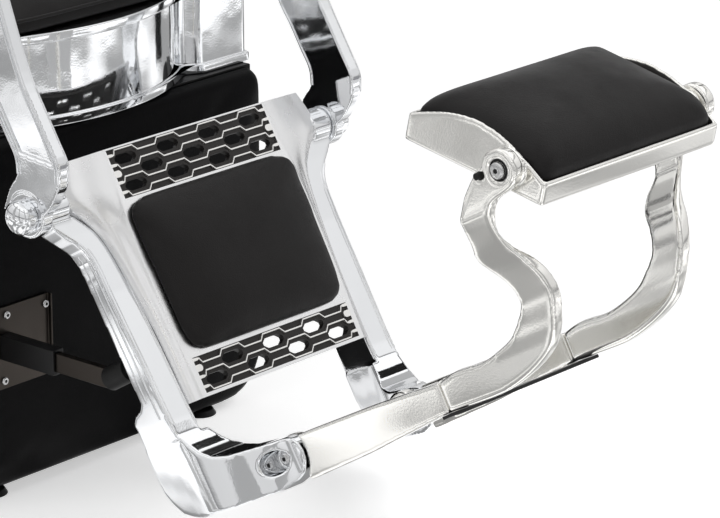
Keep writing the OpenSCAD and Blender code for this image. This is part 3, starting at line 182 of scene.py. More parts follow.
def loft(rings, bm=None, closed=False):
    """A skin bridged from ring to ring, capped at both ends or run round into itself."""
    bm = bm or bmesh.new()
    before = first = ring_edges(bm, rings[0])
    for points in rings[1:]:
        after = ring_edges(bm, points)
        bmesh.ops.bridge_loops(bm, edges=before + after)
        before = after
    if closed:
        bmesh.ops.bridge_loops(bm, edges=before + first)
    else:
        bmesh.ops.holes_fill(bm, edges=first + before)
    return bm


def sweep(path, section, closed=False):
    """Rings of a section carried along a path without twist."""
    points = [Vector(p) for p in path]
    last = len(points) - 1
    side, rings = None, []
    for i, here in enumerate(points):
        before = points[i - 1] if i or closed else here
        after = points[(i + 1) % (last + 1)] if i < last or closed else here
        along = (after - before).normalized()
        side = along.orthogonal() if side is None else side
        side = (side - along * side.dot(along)).normalized()
        up = along.cross(side)
        rings.append([here + side * a + up * b for a, b in section])
    return rings


def round_section(radius, count=10):
    """A round section, as pairs across and up."""
    turns = [math.tau * i / count for i in range(count)]
    return [(radius * math.cos(a), radius * math.sin(a)) for a in turns]


def slope(rows, i, k):
    """How steeply column k of rows runs at row i."""
    low, high = rows[max(0, i - 1)], rows[min(len(rows) - 1, i + 1)]
    return (high[k] - low[k]) / (high[0] - low[0])


def curve(rows, t, k=1):
    """Smooth value of column k of rows at t, which the first column counts."""
    i = max(j for j in range(len(rows) - 1) if rows[j][0] <= t or j == 0)
    a, b = rows[i], rows[i + 1]
    wide = b[0] - a[0]
    s = min(1, max(0, (t - a[0]) / wide))
    near, far = slope(rows, i, k) * wide, slope(rows, i + 1, k) * wide
    return (a[k] * (2 * s**3 - 3 * s**2 + 1) + near * (s**3 - 2 * s**2 + s)
        + b[k] * (3 * s**2 - 2 * s**3) + far * (s**3 - s**2))


def spaced(low, high, count):
    """Evenly spaced values from low to high."""
    return [low + (high - low) * i / (count - 1) for i in range(count)]


# Finishes
def group(name, inputs, outputs):
    """An empty shader node group with float or vector inputs and named outputs."""
    made = bpy.data.node_groups.new(name, "ShaderNodeTree")
    for key, value in inputs.items():
        kind = "NodeSocketVector" if value is None else "NodeSocketFloat"
        socket = made.interface.new_socket(key, in_out="INPUT", socket_type=kind)
        if value is not None:
            socket.default_value = value
    for key in outputs:
        made.interface.new_socket(key, in_out="OUTPUT", socket_type="NodeSocketFloat")
    start = made.nodes.new("NodeGroupInput")
    end = made.nodes.new("NodeGroupOutput")
    return made, start, end


def add(tree, kind, links=None, **settings):
    """A node with its settings, sockets by name or number, and links into it."""
    node = tree.nodes.new(kind)
    for key, value in settings.items():
        socket = key.replace("_", " ")
        if hasattr(node, key) and key not in node.inputs:
            setattr(node, key, value)
        else:
            node.inputs[socket if socket in node.inputs else key].default_value = value
    for key, source in (links or {}).items():
        tree.links.new(source, node.inputs[key])
    return node


def make_groups():
    """Leather grain, handling marks, cast waviness and a brushed lay, each with its own scale."""
    made = {}
    tree, start, end = group("leather_grain", {"Vector": None, "Scale": 900, "Crease": 0.5}, ["Height", "Tone"])
    cells = add(tree, "ShaderNodeTexVoronoi", {"Vector": start.outputs["Vector"], "Scale": start.outputs["Scale"]},
        feature="SMOOTH_F1", Smoothness=0.6)
    fold = add(tree, "ShaderNodeTexNoise", {"Vector": start.outputs["Vector"]}, Scale=70, Detail=5)
    wide = add(tree, "ShaderNodeTexNoise", {"Vector": start.outputs["Vector"]}, Scale=14, Detail=3)
    deep = add(tree, "ShaderNodeMath", {0: fold.outputs["Fac"], 1: start.outputs["Crease"]}, operation="MULTIPLY")
    both = add(tree, "ShaderNodeMath", {0: cells.outputs["Distance"], 1: deep.outputs[0]}, operation="ADD")
    tree.links.new(both.outputs[0], end.inputs["Height"])
    tree.links.new(wide.outputs["Fac"], end.inputs["Tone"])
    made["grain"] = tree
    tree, start, end = group("handling", {"Vector": None, "Scale": 9, "Least": 0.05, "Most": 0.12}, ["Roughness"])
    cloud = add(tree, "ShaderNodeTexNoise", {"Vector": start.outputs["Vector"], "Scale": start.outputs["Scale"]},
        Detail=6, Roughness=0.65)
    spread = add(tree, "ShaderNodeMapRange", {"Value": cloud.outputs["Fac"], "To Min": start.outputs["Least"],
        "To Max": start.outputs["Most"]})
    spread.inputs["From Min"].default_value = 0.35
    spread.inputs["From Max"].default_value = 0.7
    tree.links.new(spread.outputs["Result"], end.inputs["Roughness"])
    made["handling"] = tree
    tree, start, end = group("cast_wave", {"Vector": None, "Scale": 30, "Fine": 0.15}, ["Height"])
    swell = add(tree, "ShaderNodeTexNoise", {"Vector": start.outputs["Vector"], "Scale": start.outputs["Scale"]},
        Detail=1)
    pits = add(tree, "ShaderNodeTexNoise", {"Vector": start.outputs["Vector"]}, Scale=420, Detail=2)
    small = add(tree, "ShaderNodeMath", {0: pits.outputs["Fac"], 1: start.outputs["Fine"]}, operation="MULTIPLY")
    both = add(tree, "ShaderNodeMath", {0: swell.outputs["Fac"], 1: small.outputs[0]}, operation="ADD")
    tree.links.new(both.outputs[0], end.inputs["Height"])
    made["wave"] = tree
    tree, start, end = group("brushed", {"Vector": None, "Stretch": None, "Scale": 200}, ["Height"])
    lay = add(tree, "ShaderNodeVectorMath", {0: start.outputs["Vector"], 1: start.outputs["Stretch"]},
        operation="MULTIPLY")
    lines = add(tree, "ShaderNodeTexNoise", {"Vector": lay.outputs[0], "Scale": start.outputs["Scale"]}, Detail=4)
    tree.links.new(lines.outputs["Fac"], end.inputs["Height"])
    made["brushed"] = tree
    return made


GROUPS = make_groups()


def plain(name, color, metallic, roughness, **sockets):
    """A material with its Principled shader, its coordinates and its tree."""
    made = bpy.data.materials.new(name)
    made.use_nodes = True
    tree = made.node_tree
    shader = tree.nodes["Principled BSDF"]
    shader.inputs["Base Color"].default_value = (*color, 1)
    shader.inputs["Metallic"].default_value = metallic
    shader.inputs["Roughness"].default_value = roughness
    for key, value in sockets.items():
        shader.inputs[key.replace("_", " ")].default_value = value
    where = tree.nodes.new("ShaderNodeTexCoord").outputs["Object"]
    return made, tree, shader, where


def use_group(tree, name, where, **values):
    """One of the groups, placed in a material with values of its own."""
    node = tree.nodes.new("ShaderNodeGroup")
    node.node_tree = GROUPS[name]
    tree.links.new(where, node.inputs["Vector"])
    for key, value in values.items():
        node.inputs[key].default_value = value
    return node


def bump(tree, shader, height, distance, strength=1.0):
    """Fine relief on a shader, at most distance metres deep."""
    node = tree.nodes.new("ShaderNodeBump")
    node.inputs["Distance"].default_value = distance
    node.inputs["Strength"].default_value = strength
    tree.links.new(height, node.inputs["Height"])
    tree.links.new(node.outputs["Normal"], shader.inputs["Normal"])


def metal(name, color, least, most, wave, scale=30, fine=0.1):
    """Plated or polished metal whose roughness drifts from least to most, over a slight waviness."""
    made, tree, shader, where = plain(name, color, 1, least)
    marks = use_group(tree, "handling", where, Least=least, Most=most)
    tree.links.new(marks.outputs["Roughness"], shader.inputs["Roughness"])
    bump(tree, shader, use_group(tree, "wave", where, Scale=scale, Fine=fine).outputs["Height"], wave)
    return made


def leather(name, color, gloss=0.2, scale=620, depth=0.0003):
    """Grained leather, a little lighter and darker over its width."""
    made, tree, shader, where = plain(name, color, 0, 0.42, Specular_IOR_Level=gloss)
    grain = use_group(tree, "grain", where, Scale=scale, Crease=0.9)
    bump(tree, shader, grain.outputs["Height"], depth, 0.6)
    marks = use_group(tree, "handling", where, Scale=16, Least=0.38, Most=0.52)
    tree.links.new(marks.outputs["Roughness"], shader.inputs["Roughness"])
    ramp = tree.nodes.new("ShaderNodeValToRGB")
    ramp.color_ramp.elements[0].color = (*[c * 0.8 for c in color], 1)
    ramp.color_ramp.elements[1].color = (*[c * 1.25 for c in color], 1)
    tree.links.new(grain.outputs["Tone"], ramp.inputs["Fac"])
    tree.links.new(ramp.outputs["Color"], shader.inputs["Base Color"])
    return made


def moulded(name, color, roughness, depth=0.0001, scale=400, **sockets):
    """Moulded, painted, glazed or sawn stuff with a faint skin."""
    made, tree, shader, where = plain(name, color, 0, roughness, **sockets)
    marks = use_group(tree, "handling", where, Scale=20, Least=roughness * 0.85, Most=roughness * 1.2)
    tree.links.new(marks.outputs["Roughness"], shader.inputs["Roughness"])
    bump(tree, shader, use_group(tree, "wave", where, Scale=scale, Fine=0.4).outputs["Height"], depth)
    return made


def brushed_metal(name, color, least, most, stretch, depth=0.00006):
    """Metal with a lay of fine lines, drawn out along the axis with the smallest stretch."""
    made, tree, shader, where = plain(name, color, 1, least)
    marks = use_group(tree, "handling", where, Scale=14, Least=least, Most=most)
    tree.links.new(marks.outputs["Roughness"], shader.inputs["Roughness"])
    bump(tree, shader, use_group(tree, "brushed", where, Stretch=stretch, Scale=500).outputs["Height"], depth, 0.5)
    return made


FINISHES = {
    "chrome": metal("chrome_plate", (0.80, 0.81, 0.825), 0.03, 0.07, 0.0002),
    "polished_aluminium": metal("polished_aluminium", (0.86, 0.85, 0.82), 0.1, 0.17, 0.0026, 6, 0.02),
    "satin_silver": metal("satin_silver", (0.86, 0.86, 0.865), 0.24, 0.33, 0.0001, 60, 0.4),
    "grille_silver": metal("grille_silver", (0.9, 0.89, 0.87), 0.3, 0.4, 0.00005, 90, 0.5),
    "grille_floor": moulded("grille_floor", (0.022, 0.02, 0.019), 0.45, Specular_IOR_Level=0.25),
    "steel": metal("bolt_steel", (0.6, 0.6, 0.6), 0.15, 0.25, 0.0001, 200, 0.5),
    "bracket_steel": brushed_metal("bracket_steel", (0.06, 0.052, 0.046), 0.3, 0.45, (1, 1, 0.05)),
    "black_leather": leather("black_leather", (0.0075, 0.0066, 0.0066)),
    # The plinth panel gets the black leather again, painted much darker and with less sheen, as painted shade
    "panel_leather_painted_shade": leather("panel_leather_painted_shade", (0.002, 0.002, 0.0023), 0.06),
    "black_board": moulded("black_board", (0.003, 0.003, 0.0033), 0.35, Specular_IOR_Level=0.12),
    "plywood": moulded("plywood", (0.3, 0.2, 0.11), 0.6),
    "black_plastic": moulded("black_plastic", (0.006, 0.006, 0.0065), 0.45, Specular_IOR_Level=0.2),
    "black_steel": moulded("black_steel", (0.01, 0.01, 0.0105), 0.35, Specular_IOR_Level=0.3),
    "black_rubber": moulded("black_rubber", (0.008, 0.008, 0.008), 0.55, Specular_IOR_Level=0.25),
    "grey_plastic": moulded("grey_plastic", (0.3, 0.3, 0.31), 0.4),
    "ceramic": moulded("glazed_ceramic", (0.85, 0.85, 0.83), 0.12, 0.00005, 60, Coat_Weight=0.5),
}
# Finishes that share a slot of the record with another one
SLOT_FOR = {"grille_floor": "grille_silver", "panel_leather_painted_shade": "black_leather"}
SLOT_OF = {part["node"]: part["material_slot"] for part in frame["record"]["subparts"]}
for node, solid in NODES.items():
    solid.data.materials.clear()
    solid.data.materials.append(FINISHES[SLOT_OF[node]])

# Padded pieces: each starts slightly slack on its solid's form, and is blown up as cloth over foam
PADS = []
CLOTH = {"quality": 5, "mass": 0.3, "tension_stiffness": 15, "compression_stiffness": 15, "shear_stiffness": 5,
    "bending_stiffness": 0.5, "use_pressure": True, "uniform_pressure_force": 4, "vertex_group_mass": "held"}
MOMENTS = 20


def pad(node, body, place, up, grain, slack, cap, fill=0.8, slot="black_leather", walled=False):
    """Starts a padded piece. Up is the side that swells, in its own frame; its flat back stays on its board,
    and so do its sides where walls enclose them."""
    mesh = evaluated(node + "_slack", node_copy(node, place),
        ("REMESH", {"mode": "VOXEL", "voxel_size": grain}),
        ("SMOOTH", {"factor": 0.5, "iterations": 1 if walled else 3}))
    up = Vector(up)
    bm = bmesh.new()
    bm.from_mesh(mesh)
    floor = min(v.co.dot(up) for v in bm.verts)
    held = []
    for v in bm.verts:
        rise = v.co.dot(up) - floor
        if rise < grain * 0.8 or walled and abs(v.normal.dot(up)) < 0.4:
            held.append(v.index)
        else:
            v.co -= v.normal * slack * min(1, rise / (4 * slack + grain))
    bm.to_mesh(mesh)
    bm.free()
    mesh.transform(place @ Matrix.Scale(MM, 4))
    holder = bpy.data.objects.new(node + "_slack", mesh)
    bpy.context.scene.collection.objects.link(holder)
    group = holder.vertex_groups.new(name="held")
    group.add(held, 1.0, "REPLACE")
    PADS.append((holder, node, body, cap * MM, fill, slot, set(held)))


def swell_pads():
    """Blows up all slack pads at once, caps how far each point went, and finishes the pieces."""
    for holder, *_ in PADS:
        cloth = holder.modifiers.new("swell", "CLOTH")
        set_all(cloth.settings, CLOTH)
        cloth.settings.effector_weights.gravity = 0
        cloth.collision_settings.use_collision = False
    for moment in range(1, MOMENTS + 1):
        bpy.context.scene.frame_set(moment)
    for holder, node, body, cap, fill, slot, held in PADS:
        start = [v.co.copy() for v in holder.data.vertices]
        swollen = bpy.data.meshes.new_from_object(holder.evaluated_get(bpy.context.evaluated_depsgraph_get()))
        for v, before in zip(swollen.vertices, start):
            went = v.co - before
            if went.length > cap:
                v.co = before + went * (cap / went.length)
        bpy.data.objects.remove(holder)
        bm = bmesh.new()
        bm.from_mesh(swollen)
        small = slot == "black_leather" and cap < 10 * MM
        for _ in range(12 if small else 3):
            bmesh.ops.smooth_vert(bm, verts=[v for v in bm.verts if v.index not in held], factor=0.5,
                use_axis_x=True, use_axis_y=True, use_axis_z=True)
        bm.to_mesh(swollen)
        bm.free()
        piece = finish_piece(node + "_leather", swollen, body, slot, 180)
        set_all(piece.modifiers.new("even", "SUBSURF"), {"levels": 1, "render_levels": 1})
        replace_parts(piece, node)
    bpy.context.scene.frame_set(1)


pad("leg_pad", "leg_rest", LEG, (0, -1, 0), 4.5, 4, 7)
pad("foot_pad", "foot_head", TRAY, (0, 0, 1), 3, 0, 5, walled=True)
pad("seat_cushion", "base", ROW, (0, 0, 1), 9, 6, 12, 0.7)
pad("back_cushion", "base", BACK, (0, -1, 0), 9, 6, 12, 0.7)
pad("arm_pad_left", "base", ROW, (0, 0, 1), 5, 3, 5)
pad("arm_pad_right", "base", ROW, (0, 0, 1), 5, 3, 5)
# The plinth panel wears the black leather painted darker, as painted shade
pad("plinth_panel", "base", ROW, (0, -1, 0), 6, 2, 3.5, 0.9, "panel_leather_painted_shade")
swell_pads()

# Piping round the cushions: node, place, the axis that it lies square to and its level along that, as a share
PIPED = (("seat_cushion", ROW, 2, 0.3), ("back_cushion", BACK, 1, 0.3), ("arm_pad_left", ROW, 2, 0.34),
    ("arm_pad_right", ROW, 2, 0.34))
PIPING_RADIUS, PIPING_STEP = 2.4, 3


def piping(node, place, axis, level):
    """A cord sewn round a cushion at a share of its height, on the outline that its solid has there."""
    mesh = node_copy(node, place)
    low, high = min(v.co[axis] for v in mesh.vertices), max(v.co[axis] for v in mesh.vertices)
    at = low + (high - low) * (level if axis == 2 else 1 - level)
    flat = [k for k in (0, 1, 2) if k != axis]
    cut = bmesh.new()
    cut.from_mesh(mesh)
    center, normal = Vector((0, 0, 0)), Vector((0, 0, 0))
    center[axis], normal[axis] = at, 1
    found = bmesh.ops.bisect_plane(cut, geom=cut.verts[:] + cut.edges[:] + cut.faces[:], plane_co=center,
        plane_no=normal)["geom_cut"]
    points = [v.co.copy() for v in found if isinstance(v, bmesh.types.BMVert)]
    cut.free()
    middle = sum(points, Vector()) / len(points)
    points.sort(key=lambda p: math.atan2(p[flat[1]] - middle[flat[1]], p[flat[0]] - middle[flat[0]]))
    kept = [points[0]]
    for point in points[1:]:
        if (point - kept[-1]).length > PIPING_STEP:
            kept.append(point)
    bm = loft(sweep(kept, round_section(PIPING_RADIUS, 8), closed=True), closed=True)
    finish_mesh(node + "_piping", bm, "base", "black_leather", place, 60)


for row in PIPED:
    piping(*row)

# Plate of the leg rest: flat centre, rolled folds, webs that fall away to the rails
PLATE_TOP, PLATE_LOW = -44, 275
PLATE_V, PLATE_THICK = 29.5, 3
WEB_REACH, WEB_LOW = 35, 15
EDGE_TOP, EDGE_LOW = 176, 146
WEB = ((0, 1, 0.42), (0.08, 1.33, 0.36), (0.15, 1.4, 0.3), (0.22, 0.9, 0.14), (0.272, 0.58, 0), (0.32, 0.42, 0),
    (0.39, 0.33, 0), (0.52, 0.27, 0.02), (0.7, 0.25, 0.14), (1, 0.42, 0.3))
CREASE = ((-44, 139.5), (0, 142.5), (48, 149), (110, 149.5), (200, 147.5), (275, 145))
ROLL = ((0.03, 0.035), (0.08, 0.07), (0.15, 0.115), (0.25, 0.19), (0.36, 0.3), (0.47, 0.43), (0.56, 0.52),
    (0.63, 0.565), (0.7, 0.58), (0.76, 0.6), (0.83, 0.67), (0.91, 0.81), (1, 1))


def plate_section(u):
    """Front face of the plate across at u, from left to right, as pairs of x and v."""
    t = (u - PLATE_TOP) / (PLATE_LOW - PLATE_TOP)
    edge = EDGE_TOP + (EDGE_LOW - EDGE_TOP) * t + curve(WEB, t, 1) * WEB_REACH
    drop = (1 - max(0, curve(WEB, t, 2))) * (PLATE_V - WEB_LOW)
    crease = curve(CREASE, u)
    half = [(crease * k, PLATE_V) for k in (0.3, 0.6, 0.9, 0.985, 1)]
    half += [(crease + (edge - crease) * k, PLATE_V - drop * f) for k, f in ROLL]
    return [(-x, v) for x, v in reversed(half)] + [(0, PLATE_V)] + half


def plate_rings():
    """Closed rings of the plate's sheet, from its top edge down."""
    for u in spaced(PLATE_TOP, PLATE_LOW, 34):
        front = plate_section(u)
        yield [leg(x, u, v) for x, v in front] + [leg(x, u, v - PLATE_THICK) for x, v in reversed(front)]


# Grilles: node, top edge down the leg, height and rows of holes
GRILLES = (("upper_grille", -42, 62, 3), ("lower_grille", 226, 45, 2))
GRILLE_HALF = 138
RIB_WIDE, RIB_END, LUG = 2, 4.6, 4.2
HEX_PITCH, HEX_HALF, HEX_FLAT, HEX_RISE = 73, 18, 11.5, 6.5
STEP_HALF, RIB_STOP, RIB_FLARE = 3.25, 128, 131
ROW_STEP = 62 / 3.6
FLOOR_V = PLATE_V - 2.5


def block(bm, low, high):
    """A box between two corners."""
    low, high = Vector(low), Vector(high)
    verts = bmesh.ops.create_cube(bm, size=1)["verts"]
    bmesh.ops.scale(bm, vec=[abs(c) for c in high - low], verts=verts)
    bmesh.ops.translate(bm, vec=(low + high) / 2, verts=verts)
    return verts


def make_plate():
    """The sheet of the leg rest, with a window behind each grille."""
    bm = loft(list(plate_rings()))
    bmesh.ops.recalc_face_normals(bm, faces=bm.faces)
    mesh = bpy.data.meshes.new("plate")
    bm.to_mesh(mesh)
    bm.free()
    windows = bmesh.new()
    for _, u0, high, _ in GRILLES:
        block(windows, leg(-GRILLE_HALF, u0, 0), leg(GRILLE_HALF, u0 + high, 60))
    cut = cutter(windows)
    mesh = evaluated("plate", mesh, ("BOOLEAN", {"operation": "DIFFERENCE", "object": cut, "solver": "EXACT"}))
    bpy.data.objects.remove(cut)
    mesh.transform(LEG @ Matrix.Scale(MM, 4))
    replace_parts(finish_piece("leg_plate_sheet", mesh, "leg_rest", "satin_silver", 30), "leg_plate")


def hole_centres(rows, j):
    """Places across of the holes in row j of a grille."""
    shift = 0.5 if (rows - 1 - j) % 2 == 0 else 0
    return [x for x in ((i + shift) * HEX_PITCH for i in (-2, -1, 0, 1)) if abs(x) + HEX_HALF < GRILLE_HALF]


def row_u(u0, high, rows, j):
    """Middle line of row j of a grille, down the leg."""
    return u0 + high / 2 + (j - (rows - 1) / 2) * ROW_STEP


def wave(x, rows, j):
    """How far rib j swings up at x, as a share."""
    shift = 0.5 if abs(rows - 1 - j) % 2 == 0 else 0
    off = abs(x - (round(x / HEX_PITCH - shift) + shift) * HEX_PITCH)
    return max(-1, min(1, (HEX_PITCH - 4 * off) / 13))


def flat_band(bm, path, low_v, high_v):
    """A flat rib along a path of x, u and width, standing between two depths."""
    rings = []
    for i, (x, u, wide) in enumerate(path):
        (xa, ua, _), (xb, ub, _) = path[max(0, i - 1)], path[min(len(path) - 1, i + 1)]
        run = math.hypot(xb - xa, ub - ua)
        nx, nu = -(ub - ua) / run * wide / 2, (xb - xa) / run * wide / 2
        rings.append([leg(x + nx, u + nu, low_v), leg(x + nx * 0.85, u + nu * 0.85, high_v),
            leg(x - nx * 0.85, u - nu * 0.85, high_v), leg(x - nx, u - nu, low_v)])
    loft(rings, bm)


def make_grille(name, u0, high, rows):
    """A dark floor with hexagon holes under stepped bright ribs that run from side to side."""
    holes = bmesh.new()
    for j in range(rows):
        u = row_u(u0, high, rows, j)
        for x in hole_centres(rows, j):
            outline = [(HEX_HALF, 1.8), (HEX_FLAT + 1, HEX_RISE - 0.6), (HEX_FLAT - 1.5, HEX_RISE)]
            outline += [(-a, b) for a, b in reversed(outline)]
            outline += [(-a, -b) for a, b in outline]
            loft([[leg(x + a, u + b, v) for a, b in outline] for v in (5, 40)], holes)
    cut = cutter(holes)
    bm = bmesh.new()
    block(bm, leg(-GRILLE_HALF, u0, FLOOR_V), leg(GRILLE_HALF, u0 + high, FLOOR_V - 8))
    mesh = bpy.data.meshes.new(name)
    bm.to_mesh(mesh)
    bm.free()
    mesh = evaluated(name, mesh, ("BOOLEAN", {"operation": "DIFFERENCE", "object": cut, "solver": "EXACT"}))
    bpy.data.objects.remove(cut)
    mesh.transform(LEG @ Matrix.Scale(MM, 4))
    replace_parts(finish_piece(name + "_floor", mesh, "leg_rest", "grille_floor", 30), name)
    bm = bmesh.new()
    for j in range(rows + 1):
        level = row_u(u0, high, rows, j) - ROW_STEP / 2
        steps = [(2 * k + 1) * HEX_PITCH / 4 + side * STEP_HALF for k in range(-4, 4) for side in (-1, 1)]
        steps = [x for x in steps if abs(x) < 126]
        path = [(x, level - wave(x, rows, j) * ROW_STEP / 5, RIB_WIDE) for x in steps]
        ends = level - wave(130, rows, j) * ROW_STEP / 5
        path = [(-GRILLE_HALF - 1, ends, RIB_END), (-RIB_FLARE, ends, 4.0), (-RIB_STOP, ends, RIB_WIDE)] + path
        path += [(RIB_STOP, ends, RIB_WIDE), (RIB_FLARE, ends, 4.0), (GRILLE_HALF + 1, ends, RIB_END)]
        flat_band(bm, path, FLOOR_V - 0.5, PLATE_V + 0.1)
    lug_u = row_u(u0, high, rows, rows - 2)
    for side in (-1, 1):
        arc = [(math.cos(a) * LUG, math.sin(a) * LUG) for a in spaced(-math.pi / 2, math.pi / 2, 9)]
        outline = [(side * (131.5 - a), b) for a, b in arc] + [(side * 139, LUG), (side * 139, -LUG)]
        loft([[leg(x, lug_u + b, v) for x, b in outline] for v in (FLOOR_V - 0.5, PLATE_V + 0.1)], bm)
    finish_mesh(name + "_ribs", bm, "leg_rest", "grille_silver", LEG, 30)


make_plate()
for grille in GRILLES:
    make_grille(*grille)

# Cast and machined twins of the metal solids
for side in SIDES:
    cast("leg_rail_" + side, "leg_rest", "chrome", 1.4, 14)
    cast("arm_frame_" + side, "base", "chrome", 1.4, 4)
    cast("foot_bar_" + side, "foot_frame", "polished_aluminium", 1.5, 16)
    cast("s_arm_" + side, "foot_frame", "polished_aluminium", 1.6, 40)
    crisp("eye_bolt_" + side, "foot_frame", "steel", 1.5)
    crisp("back_bracket_" + side, "base", SLOT_OF["back_bracket_" + side], 1.2)
cast("foot_tray", "foot_head", "polished_aluminium", 1.7, 18)
crisp("seat_band", "base", "chrome", 1.8)
cast("basin", "basin_unit", "ceramic", 3, 8)
cast("neck_rest", "basin_unit", "black_rubber", 3, 6)
for node, body, width in (("plinth_case", "base", 1), ("rear_cabinet", "base", 1.2), ("cabinet_door", "door", 1.2),
        ("door_knob", "door", 1.5), ("stop_bracket", "base", 0.8), ("stop_sleeve", "base", 1),
        ("stop_bar", "base", 1), ("back_shell", "base", 4), ("basin_stand", "base", 1),
        ("tap_body", "basin_unit", 1.5), ("tap_spout", "spout", 1.2), ("tap_lever", "lever", 1.2),
        ("basin_waste", "basin_unit", 0.8), ("tread_plate", "foot_frame", 0.6), ("bracket_bolts", "base", 2.2),
        ("plinth_feet", "base", 1.5)):
    crisp(node, body, SLOT_OF[node], width)

# Beads along the edges of the leg rails and the arm uprights. Rows hold shares of the leg's length, and shares
# of that length or of the rail's width
RAIL_FRONT = ((-0.035, 0.03), (0.1, 0.0275), (0.3, 0.0275), (0.5, 0.035), (0.72, 0.0425), (0.765, 0.049))
RAIL_INNER = ((0.0, 0.8), (0.0275, 0.62), (0.06, 0.36), (0.09, 0.225), (0.135, 0.14), (0.18, 0.06), (0.22, 0.02),
    (0.45, 0), (0.78, 0))
RAIL_OUTER = ((0.07, 0.85), (0.098, 0.62), (0.122, 0.36), (0.15, 0.15), (0.19, 0.03), (0.24, 0), (0.45, 0),
    (0.78, 0))
FACE_SUNK, SIDE_SUNK = 0.45, 0.4
BEAD_STEPS = 40
# Edge, its place in from the rail's outside, inset, radius and where the bead starts and ends down the leg
RAIL_BEADS = ((RAIL_INNER, RAIL_WIDE, -2.2, 2.4, 0.03, 0.75), (RAIL_OUTER, 0, 2.2, 2.2, 0.13, 0.75),
    (RAIL_OUTER, 0, 7.0, 1.3, 0.15, 0.75))
# Depth, radius, start and end
SIDE_BEADS = ((5, 2, 0.16, 0.7), (-5, 1.6, 0.16, 0.64))


def rail_bead(side, rows, base, inset, radius, low, high):
    """A round bead on the face of a rail, a given way in from its edge."""
    path = []
    for t in spaced(low, high, BEAD_STEPS):
        x = RAIL_OUT - RAIL_TAPER * t * LEG_LENGTH - base + curve(rows, t) * RAIL_WIDE - inset
        v = curve(RAIL_FRONT, t) * LEG_LENGTH - radius * FACE_SUNK
        path.append(leg(SIDES[side] * x, t * LEG_LENGTH, v))
    bm = loft(sweep(path, round_section(radius, 12)))
    finish_mesh("rail_bead", bm, "leg_rest", "chrome", LEG, 60)


for side in SIDES:
    for row in RAIL_BEADS:
        rail_bead(side, *row)


def side_bead(side, v, radius, low, high):
    """A round bead along the outer side of a rail, at a given depth."""
    path = []
    for t in spaced(low, high, BEAD_STEPS):
        x = RAIL_OUT - RAIL_TAPER * t * LEG_LENGTH + curve(RAIL_OUTER, t) * RAIL_WIDE - radius * SIDE_SUNK
        path.append(leg(SIDES[side] * x, t * LEG_LENGTH, v))
    finish_mesh("side_bead", loft(sweep(path, round_section(radius, 12))), "leg_rest", "chrome", LEG, 60)


# Edges of the uprights: shares of the arm's depth behind the hinge, and of its rise above it
UPRIGHT_FRONT = ((-0.95, 0.134), (-0.93, 0.197), (-0.69, 0.262), (-0.345, 0.35), (-0.017, 0.437), (0.29, 0.546),
    (0.586, 0.672), (0.845, 0.787), (1.12, 0.896), (1.52, 0.984), (2.1, 1.04), (2.76, 1.055))
UPRIGHT_REAR = ((0.24, 0.134), (0.293, 0.191), (0.55, 0.257), (0.86, 0.336), (1.155, 0.404), (1.38, 0.486),
    (1.586, 0.582), (1.78, 0.678), (1.966, 0.787), (2.14, 0.869), (2.45, 0.929), (2.76, 0.945))
ARM_DEPTH, ARM_RISE = 58, 366
ARM_OUT, ARM_IN = 267.4, 250.6
RIM_INSET, RIM_RADIUS, LINE_INSET, LINE_RADIUS = 1.6, 1.8, 6.4, 1.1
HINGE = Vector(JOINTS["leg_lift"]["pos_m"]) / MM


def arm_bead(side, rows, x, inset, radius):
    """A round bead along one edge of an arm's upright, a given way in from it."""
    rows = [(i, HINGE.y + a * ARM_DEPTH, HINGE.z + b * ARM_RISE) for i, (a, b) in enumerate(rows)]
    path = []
    for t in spaced(0, len(rows) - 1, 5 * len(rows)):
        here = Vector((curve(rows, t, 1), curve(rows, t, 2)))
        near, far = max(0, t - 0.1), min(len(rows) - 1, t + 0.1)
        run, rise = curve(rows, far, 1) - curve(rows, near, 1), curve(rows, far, 2) - curve(rows, near, 2)
        along = Vector((run, rise)).normalized()
        here += Vector((along.y, -along.x)) * inset
        path.append((SIDES[side] * x, here.x, here.y))
    finish_mesh("arm_bead", loft(sweep(path, round_section(radius, 12))), "base", "chrome", ROW, 60)


def ring(name, body, slot, place, center, radius, thick):
    """A torus round an axis across the unit."""
    path = [(center[0], center[1] + radius * math.cos(a), center[2] + radius * math.sin(a))
        for a in spaced(0, math.tau, 41)[:-1]]
    bm = loft(sweep(path, round_section(thick, 10), closed=True), closed=True)
    finish_mesh(name, bm, body, slot, place, 60)


# Turned pieces: hinge caps, bolt heads and the black discs painted as shade in their sockets
PIN_RADIUS, CAP_RADIUS, CAP_LENGTH, CAP_DOME = 10, 21, 24, 12
EAR_PIN, EAR_NUT, EAR_NUT_LENGTH, EAR_WASHER, EAR_HEAD, EAR_RISE = 7, 11, 7.5, 10.4, 8.4, 3.2
EYE_FACE, EYE_HEAD = 183.8, 9.3
# Rings round the eyes and the ears: place across, radius and thickness
EYE_RING, EAR_RING = (180.5, 11.4, 1.3), (124.3, 15.4, 0.9)
# Reach of a bracket bolt head, and radius of the black disc painted as shade in its socket
BOLT_REACH, SOCKET_SHADE_RADIUS = 12.5, 2.3


def turned(name, profile, body, slot, place, sign=1, count=48):
    """A turned piece from pairs of place along the x axis and radius."""
    turns = spaced(0, math.tau, count + 1)[:-1]
    bm = loft([[(sign * d, r * math.cos(a), r * math.sin(a)) for a in turns] for d, r in profile])
    return finish_mesh(name, bm, body, slot, place, 40)


